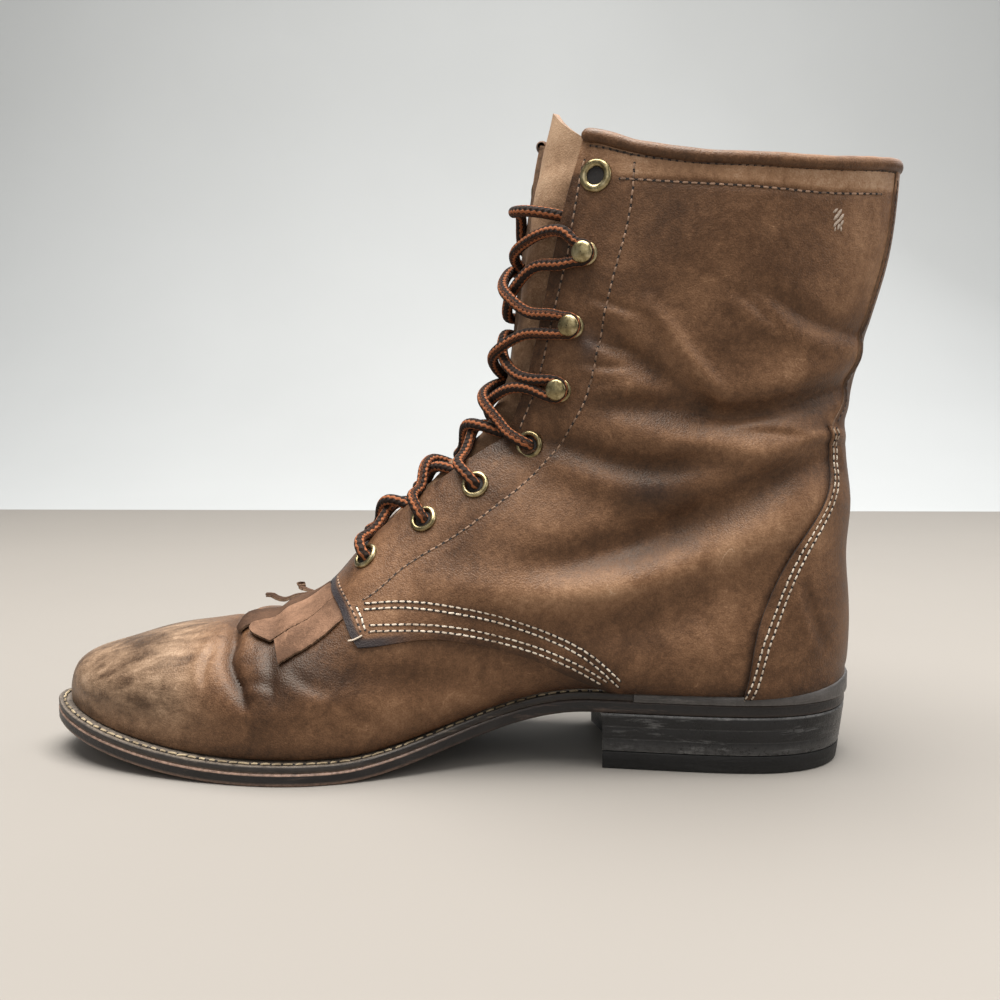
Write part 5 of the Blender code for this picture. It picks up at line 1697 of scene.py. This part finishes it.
def make_outsole():
    """A plate with the sole's outline and rounded rims."""
    places = OUTSOLE_TIP + (SOLE_LENGTH - 2 * OUTSOLE_TIP) * (1 - np.cos(np.linspace(0, np.pi, 240))) / 2
    columns = []
    for side, rims in ((1, OUTSOLE_RIMS), (-1, OUTSOLE_RIMS[::-1])):
        for rim in rims:
            line = edge_line(side, lambda s, inset=rim.inset: np.full_like(s, inset))
            heights = sole_bottom(places) + rim.height
            columns.append(np.stack([places, side * half_width(line, places), heights], axis=1))
    grid = np.stack(columns, axis=1)
    wear = [rim.wear for rim in OUTSOLE_RIMS]
    values = {"wear": np.outer(forepart(places), wear + wear[::-1])}
    made = build("outsole_leather", grid.reshape(-1, 3), loft_quads(grid), ["sole"], None, values, 0.001)
    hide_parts("outsole")


def strip_top(s):
    """Top of the strips that the upper stands on."""
    return seam_level(s) - SEAM_GAP


def strip_low(s):
    """Underside of those strips."""
    return sole_bottom(s) + OUTSOLE_THICK + 0.05


# Rims of a strip, from outside low over the top to inside low
StripRim = namedtuple("StripRim", "inset base rise wear")
WELT_RIMS = [
    StripRim(0.5, strip_low, 0.0, 0.5),
    StripRim(0.15, strip_low, 0.4, 0.1),
    StripRim(0.1, strip_top, -0.6, 0.0),
    StripRim(0.5, strip_top, -0.1, 0.5),
    StripRim(1.3, strip_top, 0.0, 0.3),
    StripRim(1.9, strip_top, -0.25, 0.35),
    StripRim(2.7, strip_top, -0.25, 0.35),
    StripRim(3.3, strip_top, 0.0, 0.5),
    StripRim(5.0, strip_top, 0.5, 0.4),
    StripRim(WELT_WIDTH, strip_top, 0.5, 0.0),
    StripRim(WELT_WIDTH, strip_low, 0.0, 0.0),
    StripRim(WELT_WIDTH - 1, strip_low, 0.0, 0.0),
]
RAND_RIMS = [
    StripRim(-0.75, strip_low, -0.15, 0.5),
    StripRim(-RAND_LIP, strip_low, 0.5, 0.2),
    StripRim(-RAND_LIP, strip_top, -0.5, 0.1),
    StripRim(-0.5, strip_top, 0.2, 0.45),
    StripRim(0.3, strip_top, 0.75, 0.4),
    StripRim(2.0, strip_top, 0.9, 0.1),
    StripRim(WELT_WIDTH - 2, strip_top, 0.9, 0.0),
    StripRim(WELT_WIDTH - 2, strip_low, 0.0, 0.0),
]


def strip_round(name, angles, rims, material, node):
    """A strip round the edge of the sole."""
    halves = []
    for side in SIDES:
        columns = []
        for rim in rims:
            s, y = sole_edge(angles[::side], side, rim.inset)
            columns.append(np.stack([s, y, rim.base(s) + rim.rise], axis=1))
        halves.append(np.stack(columns, axis=1))
    grid = np.concatenate(halves)
    values = {"wear": np.outer(np.maximum(forepart(grid[:, 0, 0]), 0.4), [rim.wear for rim in rims])}
    made = build(name, grid.reshape(-1, 3), loft_quads(grid), [material], None, values, 0.001)
    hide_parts(node)


def make_welt():
    angles = np.linspace(round_end_angle(WELT_END_S + 0.3), np.pi, 280)
    strip_round("welt_strip", angles, WELT_RIMS, "welt", "welt")


def make_rand():
    angles = np.linspace(round_end_angle(WELT_END_S), 0, 150)
    strip_round("heel_seat_rand", angles, RAND_RIMS, "rand", "heel_rand")


def heel_outline(inset):
    angles = np.linspace(round_end_angle(HEEL_BREAST_S), 0, 150)
    inner = np.stack(sole_edge(angles, 1, inset), axis=1)
    outer = np.stack(sole_edge(angles[::-1][1:], -1, inset), axis=1)
    edge = np.concatenate([inner, outer])
    t = np.linspace(0, 1, 42)[1:-1, None]
    front = edge[-1] + (edge[0] - edge[-1]) * t
    front[:, 0] -= HEEL_BREAST_HOLLOW * (1 - (2 * t[:, 0] - 1) ** 2)
    return np.concatenate([edge, front])


def make_heel_layer(name, levels, material, node, wear):
    """A layer of the heel from (height, extra inset) rows."""
    rings = []
    for z, extra in levels:
        outline = heel_outline(HEEL_TAPER * (1 - z / HEEL_HEIGHT) + extra)
        rings.append(np.column_stack([outline, np.full(len(outline), z)]))
    size = len(rings[0])
    points = np.concatenate(rings + [r.mean(axis=0, keepdims=True) for r in (rings[0], rings[-1])])
    ids = np.arange(len(rings) * size).reshape(len(rings), size)
    right = np.roll(ids, -1, axis=1)
    low, high = len(points) - 2, len(points) - 1
    caps = np.concatenate(
        [
            np.stack([np.full(size, low), right[0], ids[0], ids[0]], axis=1),
            np.stack([np.full(size, high), ids[-1], right[-1], right[-1]], axis=1),
        ]
    )
    amounts = np.concatenate([np.repeat(wear, size), [0, 0]])
    quads = np.concatenate([ring_quads(ids), caps])
    made = build(name, points, quads, [material], None, {"wear": amounts})
    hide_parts(node)


def make_heel():
    lift = [(0.0, 1.2), (0.15, 0.5), (0.6, 0.1), (3.5, 0.0), (6.1, 0.0), (6.5, 0.15), (6.68, 0.6)]
    wear = [0.6, 0.5, 0.25, 0, 0, 0.1, 0.2]
    make_heel_layer("heel_rubber_lift", lift, "rubber", "heel_top_lift", wear)
    stack = [(6.75, 0.7), (6.95, 0.2), (7.4, 0.0)]
    for joint in (11.6, 16.2):
        stack += [(joint - 0.3, 0.0), (joint, 0.07), (joint + 0.3, 0.0)]
    stack += [(20.0, 0.0), (20.5, 0.1), (20.95, 0.5)]
    wear = [0.4, 0.5, 0.2] + [0.0, 0.1, 0.0] * 2 + [0.0, 0.3, 0.4]
    make_heel_layer("heel_stack", stack, "heel", "heel_block", wear)


def make_insole():
    lines = {side: edge_line(side, lambda s: _margin(s) + WALL + 0.6) for side in SIDES}
    places = 5.5 + (SOLE_LENGTH - 14.5) * (1 - np.cos(np.linspace(0, np.pi, 150))) / 2
    shares = np.linspace(-1, 1, 33)
    inner, outer = (half_width(lines[side], places)[:, None] for side in SIDES)
    y = shares * np.where(shares > 0, inner, outer)
    z = (seam_level(places) + INSOLE_THICK)[:, None] - 1.2 * (1 - shares**2) + 0 * y
    top = np.stack([np.broadcast_to(places[:, None], y.shape), y, z], axis=-1)
    points, quads, _ = sheet(top, top - (0, 0, 2.0))
    made = build("sock_lining", points, quads, ["lining"])
    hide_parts("insole")


# Stage

FLOOR_COLOR = (0.255, 0.235, 0.212)
WALL_COLOR = (0.47, 0.48, 0.48)
SKY_COLOR = (0.86, 0.89, 0.90, 1)
SKY_STRENGTH = 0.30


def make_stage():
    floor_size, back, height, bend = 6.0, -1.6, 2.6, 0.7
    profile = [(floor_size / 2, 0.0)]
    for a in np.linspace(0, np.pi / 2, 24):
        profile.append((back + bend - bend * math.sin(a), bend - bend * math.cos(a)))
    profile.append((back, height))
    points = [(x, y, z) for x in (-floor_size, floor_size) for y, z in profile]
    n = len(profile)
    mesh = bpy.data.meshes.new("studio_floor")
    mesh.from_pydata(points, [], [(k, k + 1, n + k + 1, n + k) for k in range(n - 1)])
    mesh.materials.append(floor_material("pale_floor", FLOOR_COLOR))
    mesh.materials.append(floor_material("pale_wall", WALL_COLOR))
    for face in mesh.polygons:
        face.material_index = int(face.center.y < back + bend)
    mesh.shade_smooth()
    floor = bpy.data.objects.new("studio_floor", mesh)
    bpy.context.scene.collection.objects.link(floor)


Lamp = namedtuple("Lamp", "name place aim size energy color")
LAMPS = [
    Lamp("overhead_soft", (0.05, 0.05, 1.45), (0, 0, 0.05), 1.3, 66.0, (1.0, 0.985, 0.96)),
    Lamp("front_fill", (0.5, 1.7, 0.95), (0, 0, 0.12), 1.5, 7.0, (1.0, 0.985, 0.965)),
    Lamp("heel_fill", (-1.3, 0.5, 0.9), (-0.05, 0, 0.12), 1.0, 7.0, (1.0, 0.985, 0.965)),
    Lamp("back_rim", (-0.9, -0.9, 0.9), (0, 0, 0.15), 0.9, 5.0, (0.97, 0.98, 1.0)),
]


def make_lamps():
    for lamp in LAMPS:
        light = bpy.data.lights.new(lamp.name, "AREA")
        light.shape, light.size, light.energy, light.color = "SQUARE", lamp.size, lamp.energy, lamp.color
        made = bpy.data.objects.new(lamp.name, light)
        made.location = lamp.place
        made.rotation_euler = (Vector(lamp.aim) - Vector(lamp.place)).to_track_quat("-Z", "Y").to_euler()
        bpy.context.scene.collection.objects.link(made)
    world_light = bpy.data.worlds.new("studio_air")
    bpy.context.scene.world = world_light
    world_light.use_nodes = True
    sky = world_light.node_tree.nodes["Background"]
    sky.inputs["Color"].default_value = SKY_COLOR
    sky.inputs["Strength"].default_value = SKY_STRENGTH


CAMERA_PLACE = (-0.0207, 0.4163, 0.1325)
CAMERA_DOWN = 5.2  # degrees below level
CAMERA_TURN = 1.2  # degrees towards the toe, from square to the boot
CAMERA_LENS = 39.6
CAMERA_SENSOR = 36.0


def make_camera():
    lens = bpy.data.cameras.new("camera")
    lens.lens, lens.sensor_width = CAMERA_LENS, CAMERA_SENSOR
    lens.clip_start = 0.01
    camera = bpy.data.objects.new("camera", lens)
    camera.location = CAMERA_PLACE
    camera.rotation_euler = (math.radians(90 - CAMERA_DOWN), 0, math.radians(180 + CAMERA_TURN))
    bpy.context.scene.collection.objects.link(camera)
    bpy.context.scene.camera = camera


def main():
    make_camera()
    make_vamp()
    make_quarter(1, "quarter_inner")
    make_quarter(-1, "quarter_outer")
    make_counter()
    make_backstay()
    make_binding()
    make_tongue()
    make_kiltie()
    sew_upper()
    sew_welt()
    make_threads()
    make_hole_shades()
    make_marks()
    make_fittings()
    make_lace()
    make_outsole()
    make_welt()
    make_rand()
    make_heel()
    make_insole()
    make_stage()
    make_lamps()
    bpy.context.scene.view_settings.view_transform = "Standard"


main()
